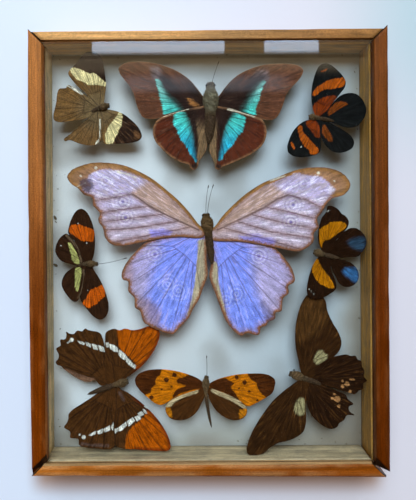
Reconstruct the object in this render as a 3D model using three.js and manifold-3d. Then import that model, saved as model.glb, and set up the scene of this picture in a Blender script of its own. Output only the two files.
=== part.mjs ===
import * as THREE from "three";
import { mergeVertices } from "three/addons/utils/BufferGeometryUtils.js";
import Module from "manifold-3d";

// A shallow wooden display case with a glass front, lying on its back, and nine set butterflies inside it.
// Millimetres, +Z out of the glass, +Y to the top of the case. The origin is under the middle of the whole
// case, level with its back.

const wasm = await Module();
wasm.setup();

// Driving dimensions of the case
const OUTER_WIDTH = 189.5;
const OUTER_HEIGHT = 234.5;
const OUTER_DEPTH = 28;
const STILE_WIDTH = 7.25;
const RAIL_WIDTH = 5.65;
const OPENING_X = OUTER_WIDTH / 2 - STILE_WIDTH;
const OPENING_Y = OUTER_HEIGHT / 2 - RAIL_WIDTH;
const EDGE_ROUND = 1.6;
const INNER_ROUND = 0.8;
const ROUND_STEPS = 4;

// The glass slides in a groove, and the boards sit in a rebate at the back
const GLASS_BOTTOM = 21.5;
const GLASS_THICKNESS = 2;
const GLASS_TUCK = 2.2;
const GROOVE_DEPTH = 2.6;
const SEAT_GAP = 0.3;
const REBATE_DEPTH = 3.1;
const BOARD_TUCK = 2.8;
const BACK_PANEL_BOTTOM = 0.6;
const BACK_PANEL_THICKNESS = 2.6;
const BOARD_BOTTOM = 3.5;
const BOARD_THICKNESS = 2;
const BOARD_TOP = BOARD_BOTTOM + BOARD_THICKNESS;

// The corners are cut at 45 degrees and don't close: how far each end of an inner edge stops short
const STILE_SHORT_LOW_LEFT = 3.4;
const STILE_SHORT_LOW_RIGHT = 3;
const RAIL_SHORT_TOP_LEFT = 1.2;
const RAIL_SHORT_TOP_RIGHT = 0.8;
const RAIL_SHORT_LOW_LEFT = -0.6;
const RAIL_SHORT_LOW_RIGHT = 0.9;

// The butterflies are drawn on one squared plan, x to the right and y down, as the eye sees them
// from a point above the case, so the same square is smaller on what stands higher.
const EYE_HEIGHT = 278;
const PLAN_SQUARE = 0.5836;
const PLAN_FOOT = { x: 190, y: 215 };
const EYE_PLACE = { x: -9.4, y: 19.9 };
const PLAN_TURN = THREE.MathUtils.degToRad(0.35);

// What all the butterflies share
const WING_THICKNESS = 0.8;
const WING_STAGGER = 0.35;
const SMOOTH_WING_POINTS = 20;
const BODY_SIDES = 8;
const FEELER_SIDES = 4;
const FEELER_RADIUS = 0.28;
const CLUB_RADIUS = 0.5;
const PIN_RADIUS = 0.4;
const PIN_HOLE_RADIUS = 0.75;
const PIN_TIP = 4;

// Each butterfly: height of its body, colour, and outlines in plan squares. spine runs from the head
// over the waist to the tail, and a wing's rise is how far its far end stands above its root.
const BUTTERFLIES = {
  butterfly_large_blue: {
    height: 17.2, colour: 0x9a94e6, spine: [[205.6, 213.5], [208.2, 232], [212, 264.5]],
    thoraxEnd: 0.52, thorax: 5.8, abdomen: 4,
    feelers: [[[206, 216], [206.3, 200], [208.6, 185]], [[207.4, 216], [209.2, 200], [213.6, 184.2]]],
    wings: {
      left_fore: { rise: 1.3, lift: 1, outline: [
        [205, 231], [198, 223.5], [190, 213], [178.6, 200.5], [166, 189.5], [152, 178.7], [139, 171.5],
        [123.8, 165.4], [107, 162.8], [92, 163], [79, 166.6], [71.5, 170.5], [67.5, 177], [71, 183.5],
        [79, 189], [84, 194.5], [92, 197.8], [93.5, 205.5], [100, 213.8], [98.3, 220.5], [103.5, 229],
        [105, 236.8], [111, 243.8], [120, 246], [140, 242.8], [158, 239], [178, 236.8], [203, 237]] },
      right_fore: { rise: 1.3, lift: 1, outline: [
        [209, 231], [215, 226], [222, 216.5], [232, 206], [247, 193], [263.8, 182.5], [278, 177],
        [290, 172], [303, 168.3], [316, 167.3], [328, 168], [340, 172], [347, 178], [350, 184.5],
        [348, 190.5], [342, 195.7], [335, 196.5], [326, 204.5], [322, 212], [317, 219], [318.5, 227],
        [313.5, 234], [313.5, 241], [307, 247.5], [298, 251.3], [275, 247.5], [242, 241.8], [210, 239]] },
      left_hind: { rise: 0.7, lift: -1, outline: [
        [205, 232], [190, 236], [160, 241.5], [147, 245], [137.5, 250.5], [130, 258], [124.5, 266],
        [121.7, 274], [123, 279.5], [128.3, 281.5], [128.5, 291], [134.5, 298], [135, 307], [140, 311],
        [143.5, 321.5], [148, 325], [162, 331.5], [173.5, 333.8], [179, 328], [189, 317.5], [193, 309],
        [199, 299], [203.5, 287], [207.8, 274], [206.5, 258], [207, 244]] },
      right_hind: { rise: 0.7, lift: -1, outline: [
        [209, 232], [222, 237], [255, 243.5], [268, 246.5], [277, 251], [285, 258.5], [290.5, 266],
        [293.5, 273], [294.3, 281.5], [288, 286], [288.5, 293], [283, 298], [281, 311], [275.5, 312.5],
        [274.8, 318.5], [268, 322], [265.5, 326], [261, 327], [258.5, 334.5], [247, 333], [241, 335.5],
        [236, 333], [226, 321], [221, 309], [215, 293], [209.3, 276.5], [211, 262], [210, 244]] },
    },
  },
  butterfly_turquoise_band: {
    height: 15.3, colour: 0x4a2d1c, spine: [[210.4, 82.5], [210.4, 112], [208.8, 145]],
    thoraxEnd: 0.5, thorax: 7.4, abdomen: 5.6,
    feelers: [[[211, 86], [214.5, 74], [219, 61.5]]],
    wings: {
      left_fore: { rise: 1.1, lift: -1, outline: [
        [209, 104], [203, 96.5], [197, 88.5], [189.5, 80], [179, 72.5], [168, 67.5], [157, 64],
        [146, 62.3], [134, 62], [124, 64], [118.8, 68.5], [119.5, 73], [124, 79.5], [130, 87],
        [134, 95], [136, 103], [139, 111], [143, 117.5], [148, 119], [156, 119], [176, 114], [207, 110]] },
      right_fore: { rise: 1.1, lift: -1, outline: [
        [211, 104], [218.5, 96.5], [224, 89], [231.5, 80.5], [240, 74], [252, 68.5], [265, 65],
        [279, 64], [290, 64.3], [298, 66], [302.8, 70], [301.5, 76], [296, 83], [290, 89.5],
        [286, 95.5], [283.5, 103], [280.5, 111], [276, 118], [270, 120.5], [261, 119.5], [242, 114],
        [211, 110]] },
      left_hind: { rise: 0.7, lift: 1, outline: [
        [209, 106], [199, 107.3], [189, 109], [178, 112], [168, 115], [158.5, 119.5], [154, 125.5],
        [153, 134], [155.5, 141.5], [161, 148], [167, 154], [174, 159], [182, 163], [189, 165],
        [190.5, 168.5], [194, 170.2], [197.3, 167.5], [199, 162], [203, 156], [207, 148], [206, 136]] },
      right_hind: { rise: 0.7, lift: 1, outline: [
        [211, 106], [221, 107], [232, 109], [243, 113], [254, 116.5], [262, 120], [266, 127],
        [266, 137], [262, 145.5], [254, 152.5], [245, 157.5], [236, 161.5], [228, 165], [222, 167.5],
        [219, 170.2], [215.3, 168.5], [214.5, 163.5], [211.5, 157], [209, 149], [212, 136]] },
    },
  },
  butterfly_yellow_band: {
    height: 15, colour: 0x4d3418, spine: [[109.8, 105.7], [101.5, 108], [91, 112.5]],
    thoraxEnd: 0.6, thorax: 3.4, abdomen: 2.6,
    feelers: [],
    wings: {
      upper_fore: { rise: 0.9, lift: -1, outline: [
        [100, 108], [104, 103], [105.3, 95], [106.3, 84], [105, 74], [103, 62], [100, 56], [93, 52.3],
        [87, 52.6], [82, 56.5], [77, 63], [72, 68.5], [68.5, 73.5], [75.5, 84], [88, 96], [95, 105]] },
      upper_hind: { rise: 0.7, lift: 1, outline: [
        [98, 109], [92, 100], [84, 94.5], [76, 89], [67.5, 85.3], [66.5, 88.2], [60, 89], [58, 92],
        [56.5, 103], [53.8, 119], [57, 122], [74, 121], [84, 119.5], [94, 115]] },
      lower_hind: { rise: 0.7, lift: 1, outline: [
        [98, 109.5], [88, 119.5], [78, 127.5], [68.5, 136], [64, 139.5], [65.5, 141.5], [70, 140.4],
        [80, 144], [92, 146], [97, 144.5], [101.5, 139.5], [101.5, 131], [102, 120]] },
      lower_fore: { rise: 0.9, lift: -1, outline: [
        [100, 108.5], [104, 109.3], [110, 110], [117, 111.5], [124, 114.5], [130, 119], [136, 124.5],
        [140.5, 131], [142, 137], [139.5, 140.5], [133, 142.8], [124, 143.8], [113, 144],
        [105, 143.8], [101.5, 131], [100.5, 120]] },
    },
  },
  butterfly_orange_stripe: {
    height: 16, colour: 0x1b1714, spine: [[308.5, 117.4], [317.5, 118.4], [335, 121.8]],
    thoraxEnd: 0.45, thorax: 3, abdomen: 2.2,
    feelers: [],
    wings: {
      upper_fore: { rise: 1, lift: 1, outline: [
        [316.5, 119], [313.3, 112], [311.3, 102], [311.2, 91], [312.8, 81], [315.7, 72], [319.5, 65.7],
        [324.5, 63.6], [330.5, 65.3], [337, 70.5], [342.5, 76.5], [345.2, 82], [344.5, 87.5],
        [340.5, 93], [331, 105], [323, 118]] },
      upper_hind: { rise: 1.9, lift: -1, outline: [
        [320, 119.3], [327, 110], [334, 101.5], [340, 96], [347, 93.5], [355, 94], [361, 98.5],
        [364.5, 104.5], [366, 110], [364.5, 116.5], [361.5, 121.5], [357, 126], [350, 128],
        [342, 126.8], [335, 124]] },
      lower_hind: { rise: 1, lift: -1, outline: [
        [320, 119], [330, 123], [338, 127.5], [345.5, 132], [351, 136.5], [353.7, 142.5], [352, 148],
        [346.5, 151.5], [339, 153], [332, 151.5], [326.5, 147], [322, 140.5], [320, 130]] },
      lower_fore: { rise: 1, lift: 1, outline: [
        [316.5, 118.5], [311, 119.5], [304, 121.5], [298, 125.5], [292.5, 132], [289, 139.5],
        [287, 147], [288, 152.5], [292.5, 156], [300, 157.5], [308, 156.8], [315, 155], [319.5, 152],
        [320.5, 147], [320.5, 140], [321.5, 119.5]] },
    },
  },
  butterfly_red_patch: {
    height: 15, colour: 0x2a170d, spine: [[98.6, 264], [88.5, 263.8], [77.5, 265]],
    thoraxEnd: 0.62, thorax: 2.9, abdomen: 1.9,
    feelers: [[[97.5, 263.9], [111, 262], [127.5, 257.6]]],
    wings: {
      upper_fore: { rise: 0.9, lift: -1, outline: [
        [90, 264], [93.5, 257], [95, 249], [95.3, 239], [94, 228.5], [91, 219], [87, 212], [82, 208.8],
        [77, 210.5], [72.5, 217], [69.5, 225.5], [68.5, 233], [76, 242.5], [84, 264]] },
      upper_hind: { rise: 0.6, lift: 1, outline: [
        [86, 264], [82, 257], [79.5, 249.5], [75.5, 242], [70, 235.5], [66.5, 233.5], [61, 237],
        [57, 243.5], [55.6, 251], [57.8, 256.5], [62, 261], [68, 263.3], [80, 265.5]] },
      lower_hind: { rise: 0.6, lift: 1, outline: [
        [86, 264], [78, 265.5], [71, 268.8], [66, 273], [62.7, 279], [62, 285], [64.5, 291],
        [68.5, 296.5], [73, 301], [77, 301.5], [80, 297], [82.5, 288.5], [84, 279], [85.5, 270]] },
      lower_fore: { rise: 0.9, lift: -1, outline: [
        [91, 263.5], [94, 269.5], [98.5, 276.5], [103, 285], [106.5, 294.5], [108.8, 304],
        [108.2, 312], [104.5, 318], [99.5, 319.3], [94, 316.5], [88, 310], [83, 303.5], [80.3, 298],
        [84, 264]] },
    },
  },
  butterfly_blue_spot: {
    height: 15.6, colour: 0x25140a, spine: [[313.5, 251.6], [322.5, 254], [339.5, 258.5]],
    thoraxEnd: 0.48, thorax: 3.6, abdomen: 2.4,
    feelers: [],
    wings: {
      upper_fore: { rise: 0.4, lift: 1, outline: [
        [323, 254], [320, 248], [318, 241], [317.5, 233], [319, 225], [321.5, 217.5], [325.5, 212],
        [327.5, 206], [332, 206], [338, 209.5], [341.5, 213.8], [344.5, 215.5], [348.3, 221],
        [347.5, 226.5], [343, 232.5], [337, 238.5], [329, 252]] },
      upper_hind: { rise: 1.9, lift: -1, outline: [
        [325, 254.5], [331, 246.5], [337.5, 238.5], [344, 231.5], [350, 228], [356, 228.2],
        [361.5, 232], [365, 237], [366, 242.5], [364.5, 248], [361, 253], [357, 256.5], [349, 257],
        [330, 257.5]] },
      lower_hind: { rise: 1.2, lift: -1, outline: [
        [325, 254.5], [335, 258.3], [343, 259.8], [349.5, 262], [354, 265.5], [357.5, 270.5],
        [358.3, 277], [356, 282.5], [350.5, 286.3], [344, 286.6], [339, 283.5], [335.5, 277.5],
        [330, 265]] },
      lower_fore: { rise: 0.8, lift: 1, outline: [
        [323, 253.5], [318, 257], [313.5, 263], [310.5, 270], [308, 279], [306.5, 288], [307, 294],
        [310.5, 297.5], [317, 298.8], [323, 297.5], [330, 293.5], [335, 289.5], [336, 285.5],
        [334.5, 279], [331.5, 272], [328, 256]] },
    },
  },
  butterfly_white_bar: {
    height: 15, colour: 0x3a2414, spine: [[128.5, 380.8], [114.5, 384.4], [87.5, 394]],
    thoraxEnd: 0.45, thorax: 4, abdomen: 2.9,
    feelers: [],
    wings: {
      upper_fore: { rise: 0.8, lift: 1, outline: [
        [116, 385], [120, 381], [127.5, 377], [135, 371.5], [141.5, 366], [148, 359], [154, 350.5],
        [158, 342], [159.8, 334], [158.5, 329], [154, 326.5], [148, 326], [141, 328.5], [133, 329.8],
        [125, 328.2], [120, 329.8], [115, 328.5], [110, 329.5], [106, 332.5], [105.3, 340],
        [105.3, 355], [108, 384]] },
      upper_hind: { rise: 0.6, lift: -1, outline: [
        [111, 385], [107, 372], [106, 352], [103.5, 340], [101, 333.5], [98, 331.5], [93, 330.6],
        [88.5, 329.6], [85.5, 328], [82.5, 330.8], [77.5, 330.3], [74, 333.5], [70, 333.3],
        [66.3, 331.3], [66.8, 335.5], [65, 339], [60.6, 339.3], [60.8, 345], [56.5, 348.3],
        [58.8, 353.5], [58.8, 358], [56, 361.5], [57.5, 364.5], [61, 365.5], [64, 368.5], [70, 373],
        [76, 377], [83, 380.5], [90, 381.5], [95, 379.5], [101, 385]] },
      lower_hind: { rise: 0.6, lift: -1, outline: [
        [112, 385], [100, 391], [91, 397.5], [87, 400], [80, 404.5], [73, 409], [69, 413.5],
        [68.5, 418.5], [67, 422.5], [64.3, 426.5], [70.5, 431.5], [70.5, 437], [78.5, 438.5],
        [79.5, 444.5], [86, 446.8], [98, 448], [112, 448], [117, 440], [117, 410]] },
      lower_fore: { rise: 0.8, lift: 1, outline: [
        [116, 384], [121, 388.5], [128, 392], [135, 397], [142, 402.5], [149, 409], [156, 416.5],
        [162, 424.5], [167, 433], [170, 441], [170.5, 448], [166, 450.5], [158, 450.3], [146, 449.5],
        [134, 448.5], [124, 448], [116, 445], [114.5, 430], [112, 386]] },
    },
  },
  butterfly_amber: {
    height: 15.5, colour: 0xb9720f, spine: [[206.8, 375], [206.2, 396], [211.7, 427.4]],
    thoraxEnd: 0.4, thorax: 3.3, abdomen: 1.7,
    feelers: [[[206.8, 377], [206.9, 366], [206.6, 355]]],
    wings: {
      left_fore: { rise: 0.9, lift: -1, outline: [
        [206.5, 386], [203.5, 382.3], [198, 378], [190, 374.5], [180, 371.5], [168, 369.3],
        [156, 368.8], [145, 370.5], [137.5, 374.5], [135, 380], [137, 386], [142, 392], [149, 398],
        [155, 402.8], [161, 404.5], [167, 402], [176, 396], [205, 390]] },
      right_fore: { rise: 0.9, lift: -1, outline: [
        [207, 386], [210.5, 382.3], [217, 379], [227, 376], [239, 373.8], [252, 373], [263, 373.3],
        [270, 375.2], [274.8, 379.5], [274.5, 386], [272, 392.5], [266, 397], [259, 401],
        [252.5, 404.5], [248, 405.8], [242, 403.5], [230, 396], [208, 390]] },
      left_hind: { rise: 0.6, lift: 1, outline: [
        [206, 387], [197, 389.7], [187, 392.5], [177, 396.5], [169, 401.5], [165.5, 407],
        [166.5, 413], [170, 417.5], [176, 419.5], [184, 419.3], [191, 416.5], [197, 411],
        [201.5, 403], [205, 395]] },
      right_hind: { rise: 0.6, lift: 1, outline: [
        [207, 387], [215, 389.2], [224, 392.5], [233, 396.5], [241, 401.5], [246, 406.5],
        [247, 411.5], [244.5, 416.5], [238, 419.5], [230, 419], [221, 414.5], [214.5, 408],
        [208, 395]] },
    },
  },
  butterfly_dark_swallowtail: {
    height: 15.2, colour: 0x2f1a0c, spine: [[288.8, 372.8], [302, 377], [322, 384]],
    thoraxEnd: 0.55, thorax: 4, abdomen: 2.6,
    feelers: [],
    wings: {
      upper_fore: { rise: -0.9, lift: 1, outline: [
        [303, 378], [300.3, 371], [298, 360], [295.5, 348], [294.7, 336], [295.5, 324], [298, 312],
        [302, 301.5], [307, 294.5], [314, 291.5], [321, 295], [325.5, 301.5], [326.5, 308],
        [328.5, 314.5], [333, 323.5], [338, 332], [341, 341], [340, 348], [335.5, 354.5], [326, 361],
        [309, 379]] },
      upper_hind: { rise: 2.4, lift: -1, outline: [
        [304, 378.5], [313, 368.5], [322, 362], [331, 357], [340, 354.8], [346, 354], [350, 355.5],
        [355, 355.3], [357.3, 359], [361, 360.8], [361.5, 366], [363.8, 370], [363.3, 376],
        [366.5, 380.3], [362.8, 383], [362.3, 388.5], [358.5, 390], [354.5, 393.5], [348, 392],
        [330, 386.5]] },
      lower_hind: { rise: 1.4, lift: -1, outline: [
        [304, 378.5], [320, 383.5], [338, 391], [345, 394], [347.5, 398.5], [353, 403.5],
        [348.5, 406], [349, 410.5], [354, 414.5], [346.5, 414.8], [343.5, 419.5], [339, 422.5],
        [336.5, 426.5], [330.5, 428.5], [324, 426], [317, 421], [311.5, 415], [308, 408],
        [305, 395]] },
      lower_fore: { rise: 2.6, lift: 1, outline: [
        [303, 377.5], [297, 380.5], [290, 385.5], [281, 392.5], [272.5, 400.5], [265, 410],
        [258, 420.5], [252, 431], [248, 441], [246.3, 449], [248.5, 454], [256, 454.5], [263, 453],
        [270, 447], [278, 442.5], [288, 440], [297, 436], [303, 431], [305.5, 423], [305.9, 410],
        [306, 396], [309, 380]] },
    },
  },
};

// A closed geometry as a solid that can be joined: shared corners merged, empty triangles left out
function toSolid(geometry) {
  const bare = geometry.clone();
  bare.deleteAttribute("normal");
  bare.deleteAttribute("uv");
  const merged = mergeVertices(bare.index ? bare.toNonIndexed() : bare);
  const corners = merged.index.array;
  const kept = [];
  for (let i = 0; i < corners.length; i += 3) {
    const [a, b, c] = [corners[i], corners[i + 1], corners[i + 2]];
    if (a !== b && b !== c && c !== a) kept.push(a, b, c);
  }
  const vertProperties = new Float32Array(merged.attributes.position.array);
  const triVerts = new Uint32Array(kept);
  return new wasm.Manifold(new wasm.Mesh({ numProp: 3, vertProperties, triVerts }));
}

function toGeometry(solid) {
  const mesh = solid.getMesh();
  const geometry = new THREE.BufferGeometry();
  geometry.setAttribute("position", new THREE.BufferAttribute(new Float32Array(mesh.vertProperties), 3));
  geometry.setIndex(new THREE.BufferAttribute(new Uint32Array(mesh.triVerts), 1));
  return geometry;
}

function joined(geometries) {
  const TRIM = 0.01;
  const whole = geometries.map(toSolid).reduce((sum, solid) => sum.add(solid));
  return toGeometry(whole.simplify(TRIM));
}

// Moves every corner of a geometry by a function of its place
function reshape(geometry, move) {
  const position = geometry.attributes.position;
  const point = new THREE.Vector3();
  for (let i = 0; i < position.count; i += 1) {
    point.fromBufferAttribute(position, i);
    move(point);
    position.setXYZ(i, point.x, point.y, point.z);
  }
  return geometry;
}

// A point of the plan, at a height, as a place in the case
function placeOnPlan(x, y, height) {
  const square = PLAN_SQUARE * (1 - height / EYE_HEIGHT);
  const right = x - PLAN_FOOT.x;
  const down = y - PLAN_FOOT.y;
  const alongX = right * Math.cos(PLAN_TURN) - down * Math.sin(PLAN_TURN);
  const alongY = right * Math.sin(PLAN_TURN) + down * Math.cos(PLAN_TURN);
  return new THREE.Vector3(EYE_PLACE.x + alongX * square, EYE_PLACE.y - alongY * square, height);
}

// The case's moulding, seen along its length: w from the inner edge outwards, z from the back
function mouldingProfile(width) {
  const groove = { low: GLASS_BOTTOM - SEAT_GAP, high: GLASS_BOTTOM + GLASS_THICKNESS + SEAT_GAP };
  const rebateTop = BOARD_TOP + SEAT_GAP;
  const points = [
    [REBATE_DEPTH, 0], [width, 0],
  ];
  for (let i = 0; i <= ROUND_STEPS; i += 1) {
    const angle = (Math.PI / 2) * (i / ROUND_STEPS);
    points.push([
      width - EDGE_ROUND + EDGE_ROUND * Math.cos(angle),
      OUTER_DEPTH - EDGE_ROUND + EDGE_ROUND * Math.sin(angle),
    ]);
  }
  for (let i = 0; i <= ROUND_STEPS; i += 1) {
    const angle = (Math.PI / 2) * (1 + i / ROUND_STEPS);
    points.push([
      INNER_ROUND + INNER_ROUND * Math.cos(angle),
      OUTER_DEPTH - INNER_ROUND + INNER_ROUND * Math.sin(angle),
    ]);
  }
  points.push([0, groove.high], [GROOVE_DEPTH, groove.high], [GROOVE_DEPTH, groove.low], [0, groove.low]);
  points.push([0, rebateTop], [REBATE_DEPTH, rebateTop]);
  return new THREE.Shape(points.map(([w, z]) => new THREE.Vector2(w, z)));
}

// One side of the case. start and end are the ends of its inner edge, which has the opening on its right,
// and both ends slant at 45 degrees.
function moulding(width, start, end) {
  const geometry = new THREE.ExtrudeGeometry(mouldingProfile(width), { depth: 1, bevelEnabled: false });
  const along = new THREE.Vector2().subVectors(end, start);
  const length = along.length();
  along.normalize();
  const outward = new THREE.Vector2(-along.y, along.x);
  return reshape(geometry, (point) => {
    const [w, z, share] = [point.x, point.y, point.z];
    const t = share > 0.5 ? length + w : -w;
    point.set(start.x + along.x * t + outward.x * w, start.y + along.y * t + outward.y * w, z);
  });
}

function plate(halfX, halfY, bottom, thickness, holes = []) {
  const shape = new THREE.Shape([
    new THREE.Vector2(-halfX, -halfY), new THREE.Vector2(halfX, -halfY),
    new THREE.Vector2(halfX, halfY), new THREE.Vector2(-halfX, halfY),
  ]);
  shape.holes = holes;
  const geometry = new THREE.ExtrudeGeometry(shape, { depth: thickness, bevelEnabled: false });
  return geometry.translate(0, 0, bottom);
}

// A round body drawn out along a path: profile holds pairs of share along the path and radius
function turnedAlong(path, profile, sides) {
  const points = profile.map(([share, radius]) => new THREE.Vector2(radius, share));
  return reshape(new THREE.LatheGeometry(points, sides), (point) => {
    const share = THREE.MathUtils.clamp(point.y, 0, 1);
    const middle = path.getPoint(share);
    const ahead = path.getTangent(share).setZ(0).normalize();
    const across = new THREE.Vector3(ahead.y, -ahead.x, 0);
    const [side, up] = [point.x, point.z];
    point.copy(middle).addScaledVector(across, side);
    point.z = middle.z + up;
  });
}

function planPath(points, height) {
  return new THREE.CatmullRomCurve3(points.map(([x, y]) => placeOnPlan(x, y, height)));
}

// Head, thorax and abdomen in one: three swellings along the spine
function bodyGeometry(insect) {
  const square = PLAN_SQUARE * (1 - insect.height / EYE_HEIGHT);
  const thorax = insect.thorax * square;
  const abdomen = insect.abdomen * square;
  const waist = insect.thoraxEnd;
  const head = 0.16 * waist;
  const profile = [
    [0, 0], [0.4 * head, 0.4 * thorax], [head, 0.55 * thorax], [1.7 * head, 0.45 * thorax],
    [0.45 * waist, 0.95 * thorax], [0.75 * waist, thorax], [waist, 0.75 * abdomen],
    [waist + 0.3 * (1 - waist), abdomen], [waist + 0.7 * (1 - waist), 0.85 * abdomen],
    [waist + 0.93 * (1 - waist), 0.45 * abdomen], [1, 0],
  ];
  return turnedAlong(planPath(insect.spine, insect.height), profile, BODY_SIDES);
}

// A thread from the head to a small club
function feelerGeometry(points, height) {
  const profile = [
    [0, 0], [0, FEELER_RADIUS], [0.85, FEELER_RADIUS], [0.93, CLUB_RADIUS], [1, 0.7 * CLUB_RADIUS], [1, 0],
  ];
  return turnedAlong(planPath(points, height), profile, FEELER_SIDES);
}

// A thin plate of the outline's shape, rising evenly with the distance from its root
function wingGeometry(wing, height) {
  const corners = wing.outline.map(([x, y]) => new THREE.Vector3(x, -y, 0));
  const curve = new THREE.CatmullRomCurve3(corners, true, "centripetal");
  const steps = corners.length * (corners.length > SMOOTH_WING_POINTS ? 1 : 2);
  const rim = Array.from({ length: steps }, (_, i) => curve.getPoint(i / steps));
  const shape = new THREE.Shape(rim.map((p) => new THREE.Vector2(p.x, p.y)));
  const root = rim[0];
  const reach = Math.max(...rim.map((p) => p.distanceTo(root)));
  const base = height + wing.lift * WING_STAGGER;
  const geometry = new THREE.ExtrudeGeometry(shape, { depth: 1, bevelEnabled: false });
  return reshape(geometry, (point) => {
    const away = Math.hypot(point.x - root.x, point.y - root.y) / reach;
    const middle = base + wing.rise * away;
    const side = (point.z - 0.5) * WING_THICKNESS;
    point.copy(placeOnPlan(point.x, -point.y, middle));
    point.z = middle + side;
  });
}

function pinPlace(insect) {
  const path = planPath(insect.spine, insect.height);
  return path.getPoint(0.62 * insect.thoraxEnd);
}

function pinGeometry(insect) {
  const place = pinPlace(insect);
  const length = place.z - PIN_TIP;
  const geometry = new THREE.CylinderGeometry(PIN_RADIUS, PIN_RADIUS, length, 6);
  geometry.rotateX(Math.PI / 2);
  return geometry.translate(place.x, place.y, PIN_TIP + length / 2);
}

function butterflyGeometry(insect) {
  const pieces = [bodyGeometry(insect), pinGeometry(insect)];
  for (const wing of Object.values(insect.wings)) pieces.push(wingGeometry(wing, insect.height));
  for (const points of insect.feelers) pieces.push(feelerGeometry(points, insect.height));
  return joined(pieces);
}

// The tips of the stiles stand out past the top rail, so the middle of the whole case is a little above
// the middle of the opening, from which everything is measured
const STILE_TIP = STILE_WIDTH - RAIL_WIDTH;
const group = new THREE.Group();
group.position.y = -STILE_TIP / 2;

function addPiece(name, geometry, color, roughness, extra = {}) {
  const material = new THREE.MeshStandardMaterial({ color, roughness, metalness: 0, ...extra });
  const mesh = new THREE.Mesh(geometry, material);
  mesh.name = name;
  group.add(mesh);
}

// The four sides of the case, each from corner to corner along its inner edge
const WOOD = 0x7e4b22;
const at = (x, y) => new THREE.Vector2(x, y);
addPiece("stile_left", moulding(
  STILE_WIDTH, at(-OPENING_X, -OPENING_Y + STILE_SHORT_LOW_LEFT), at(-OPENING_X, OPENING_Y)), WOOD, 0.4);
addPiece("stile_right", moulding(
  STILE_WIDTH, at(OPENING_X, OPENING_Y), at(OPENING_X, -OPENING_Y + STILE_SHORT_LOW_RIGHT)), WOOD, 0.4);
addPiece("rail_top", moulding(
  RAIL_WIDTH, at(-OPENING_X + RAIL_SHORT_TOP_LEFT, OPENING_Y),
  at(OPENING_X - RAIL_SHORT_TOP_RIGHT, OPENING_Y)), WOOD, 0.4);
addPiece("rail_bottom", moulding(
  RAIL_WIDTH, at(OPENING_X - RAIL_SHORT_LOW_RIGHT, -OPENING_Y),
  at(-OPENING_X + RAIL_SHORT_LOW_LEFT, -OPENING_Y)), WOOD, 0.4);

addPiece("front_glass", plate(
  OPENING_X + GLASS_TUCK, OPENING_Y + GLASS_TUCK, GLASS_BOTTOM, GLASS_THICKNESS),
0xdfeeee, 0.05, { transparent: true, opacity: 0.25 });
addPiece("back_panel", plate(
  OPENING_X + BOARD_TUCK, OPENING_Y + BOARD_TUCK, BACK_PANEL_BOTTOM, BACK_PANEL_THICKNESS), 0x6d4c2e, 0.85);

const insects = Object.entries(BUTTERFLIES);
const pinHoles = insects.map(([, insect]) => {
  const place = pinPlace(insect);
  return new THREE.Path(Array.from({ length: 6 }, (_, i) => {
    const angle = (Math.PI / 3) * i;
    return at(place.x + PIN_HOLE_RADIUS * Math.cos(angle), place.y + PIN_HOLE_RADIUS * Math.sin(angle));
  }));
});
addPiece("mounting_board", plate(
  OPENING_X + BOARD_TUCK, OPENING_Y + BOARD_TUCK, BOARD_BOTTOM, BOARD_THICKNESS, pinHoles), 0xc4d2d4, 0.9);

for (const [name, insect] of insects) addPiece(name, butterflyGeometry(insect), insect.colour, 0.8);

export default group;
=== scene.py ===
import math

import bpy
import numpy as np
from bpy.props import FloatProperty, FloatVectorProperty, PointerProperty
from bpy.types import Operator, Panel, PropertyGroup
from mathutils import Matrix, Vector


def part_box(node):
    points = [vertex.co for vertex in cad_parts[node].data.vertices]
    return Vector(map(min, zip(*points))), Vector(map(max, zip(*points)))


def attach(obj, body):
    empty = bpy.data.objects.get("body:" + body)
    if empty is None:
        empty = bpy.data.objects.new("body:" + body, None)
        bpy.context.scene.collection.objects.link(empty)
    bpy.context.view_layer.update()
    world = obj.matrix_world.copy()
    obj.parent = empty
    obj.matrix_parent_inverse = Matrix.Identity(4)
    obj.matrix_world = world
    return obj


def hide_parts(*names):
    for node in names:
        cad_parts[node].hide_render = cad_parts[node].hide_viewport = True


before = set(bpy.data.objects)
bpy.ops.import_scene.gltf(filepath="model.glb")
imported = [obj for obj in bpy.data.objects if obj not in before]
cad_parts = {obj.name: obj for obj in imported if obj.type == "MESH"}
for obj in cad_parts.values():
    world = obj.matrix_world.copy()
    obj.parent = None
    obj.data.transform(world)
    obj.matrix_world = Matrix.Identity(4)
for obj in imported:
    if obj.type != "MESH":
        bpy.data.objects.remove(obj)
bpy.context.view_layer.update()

bl_info = {
    "name": "Butterfly display case",
    "version": (1, 0, 0),
    "blender": (4, 5, 0),
    "location": "3D View > Sidebar > Display case",
    "description": "Builds a glazed wooden case in which nine set butterflies are pinned",
    "category": "Add Mesh",
}

# Lengths are in millimetres where they are written, and become metres where a mesh is made.
MM = 0.001

# The butterflies are drawn on one squared plan, x to the right and y down, as the eye sees them from a
# point above the case, so the same square is smaller on what stands higher.
EYE_HEIGHT = 278.0
PLAN_SQUARE = 0.5836
PLAN_FOOT = (190.0, 215.0)
EYE_X = -9.4
EYE_Y = 19.1
PLAN_TURN = math.radians(0.35)

# What the glass mirrors, in metres on a sheet at WINDOW_HEIGHT above the floor: the left and right edges of
# the window panes, where they set in and the sill shades the wall below them, where the wall sets in and
# where it dims to the right, and the limits of a thin gleam
WINDOW_HEIGHT = 1.5
PANES = ((-0.362, 0.121), (0.263, 0.463))
SILL_RISE = (0.594, 0.618)
SILL_SHADE = (0.588, 0.600)
WALL_RISE = (0.515, 0.575)
WALL_DIM = (0.75, 0.48)
GLEAM_ACROSS = (-0.26, 0.34)
GLEAM_AWAY = (0.47, 0.524)

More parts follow.
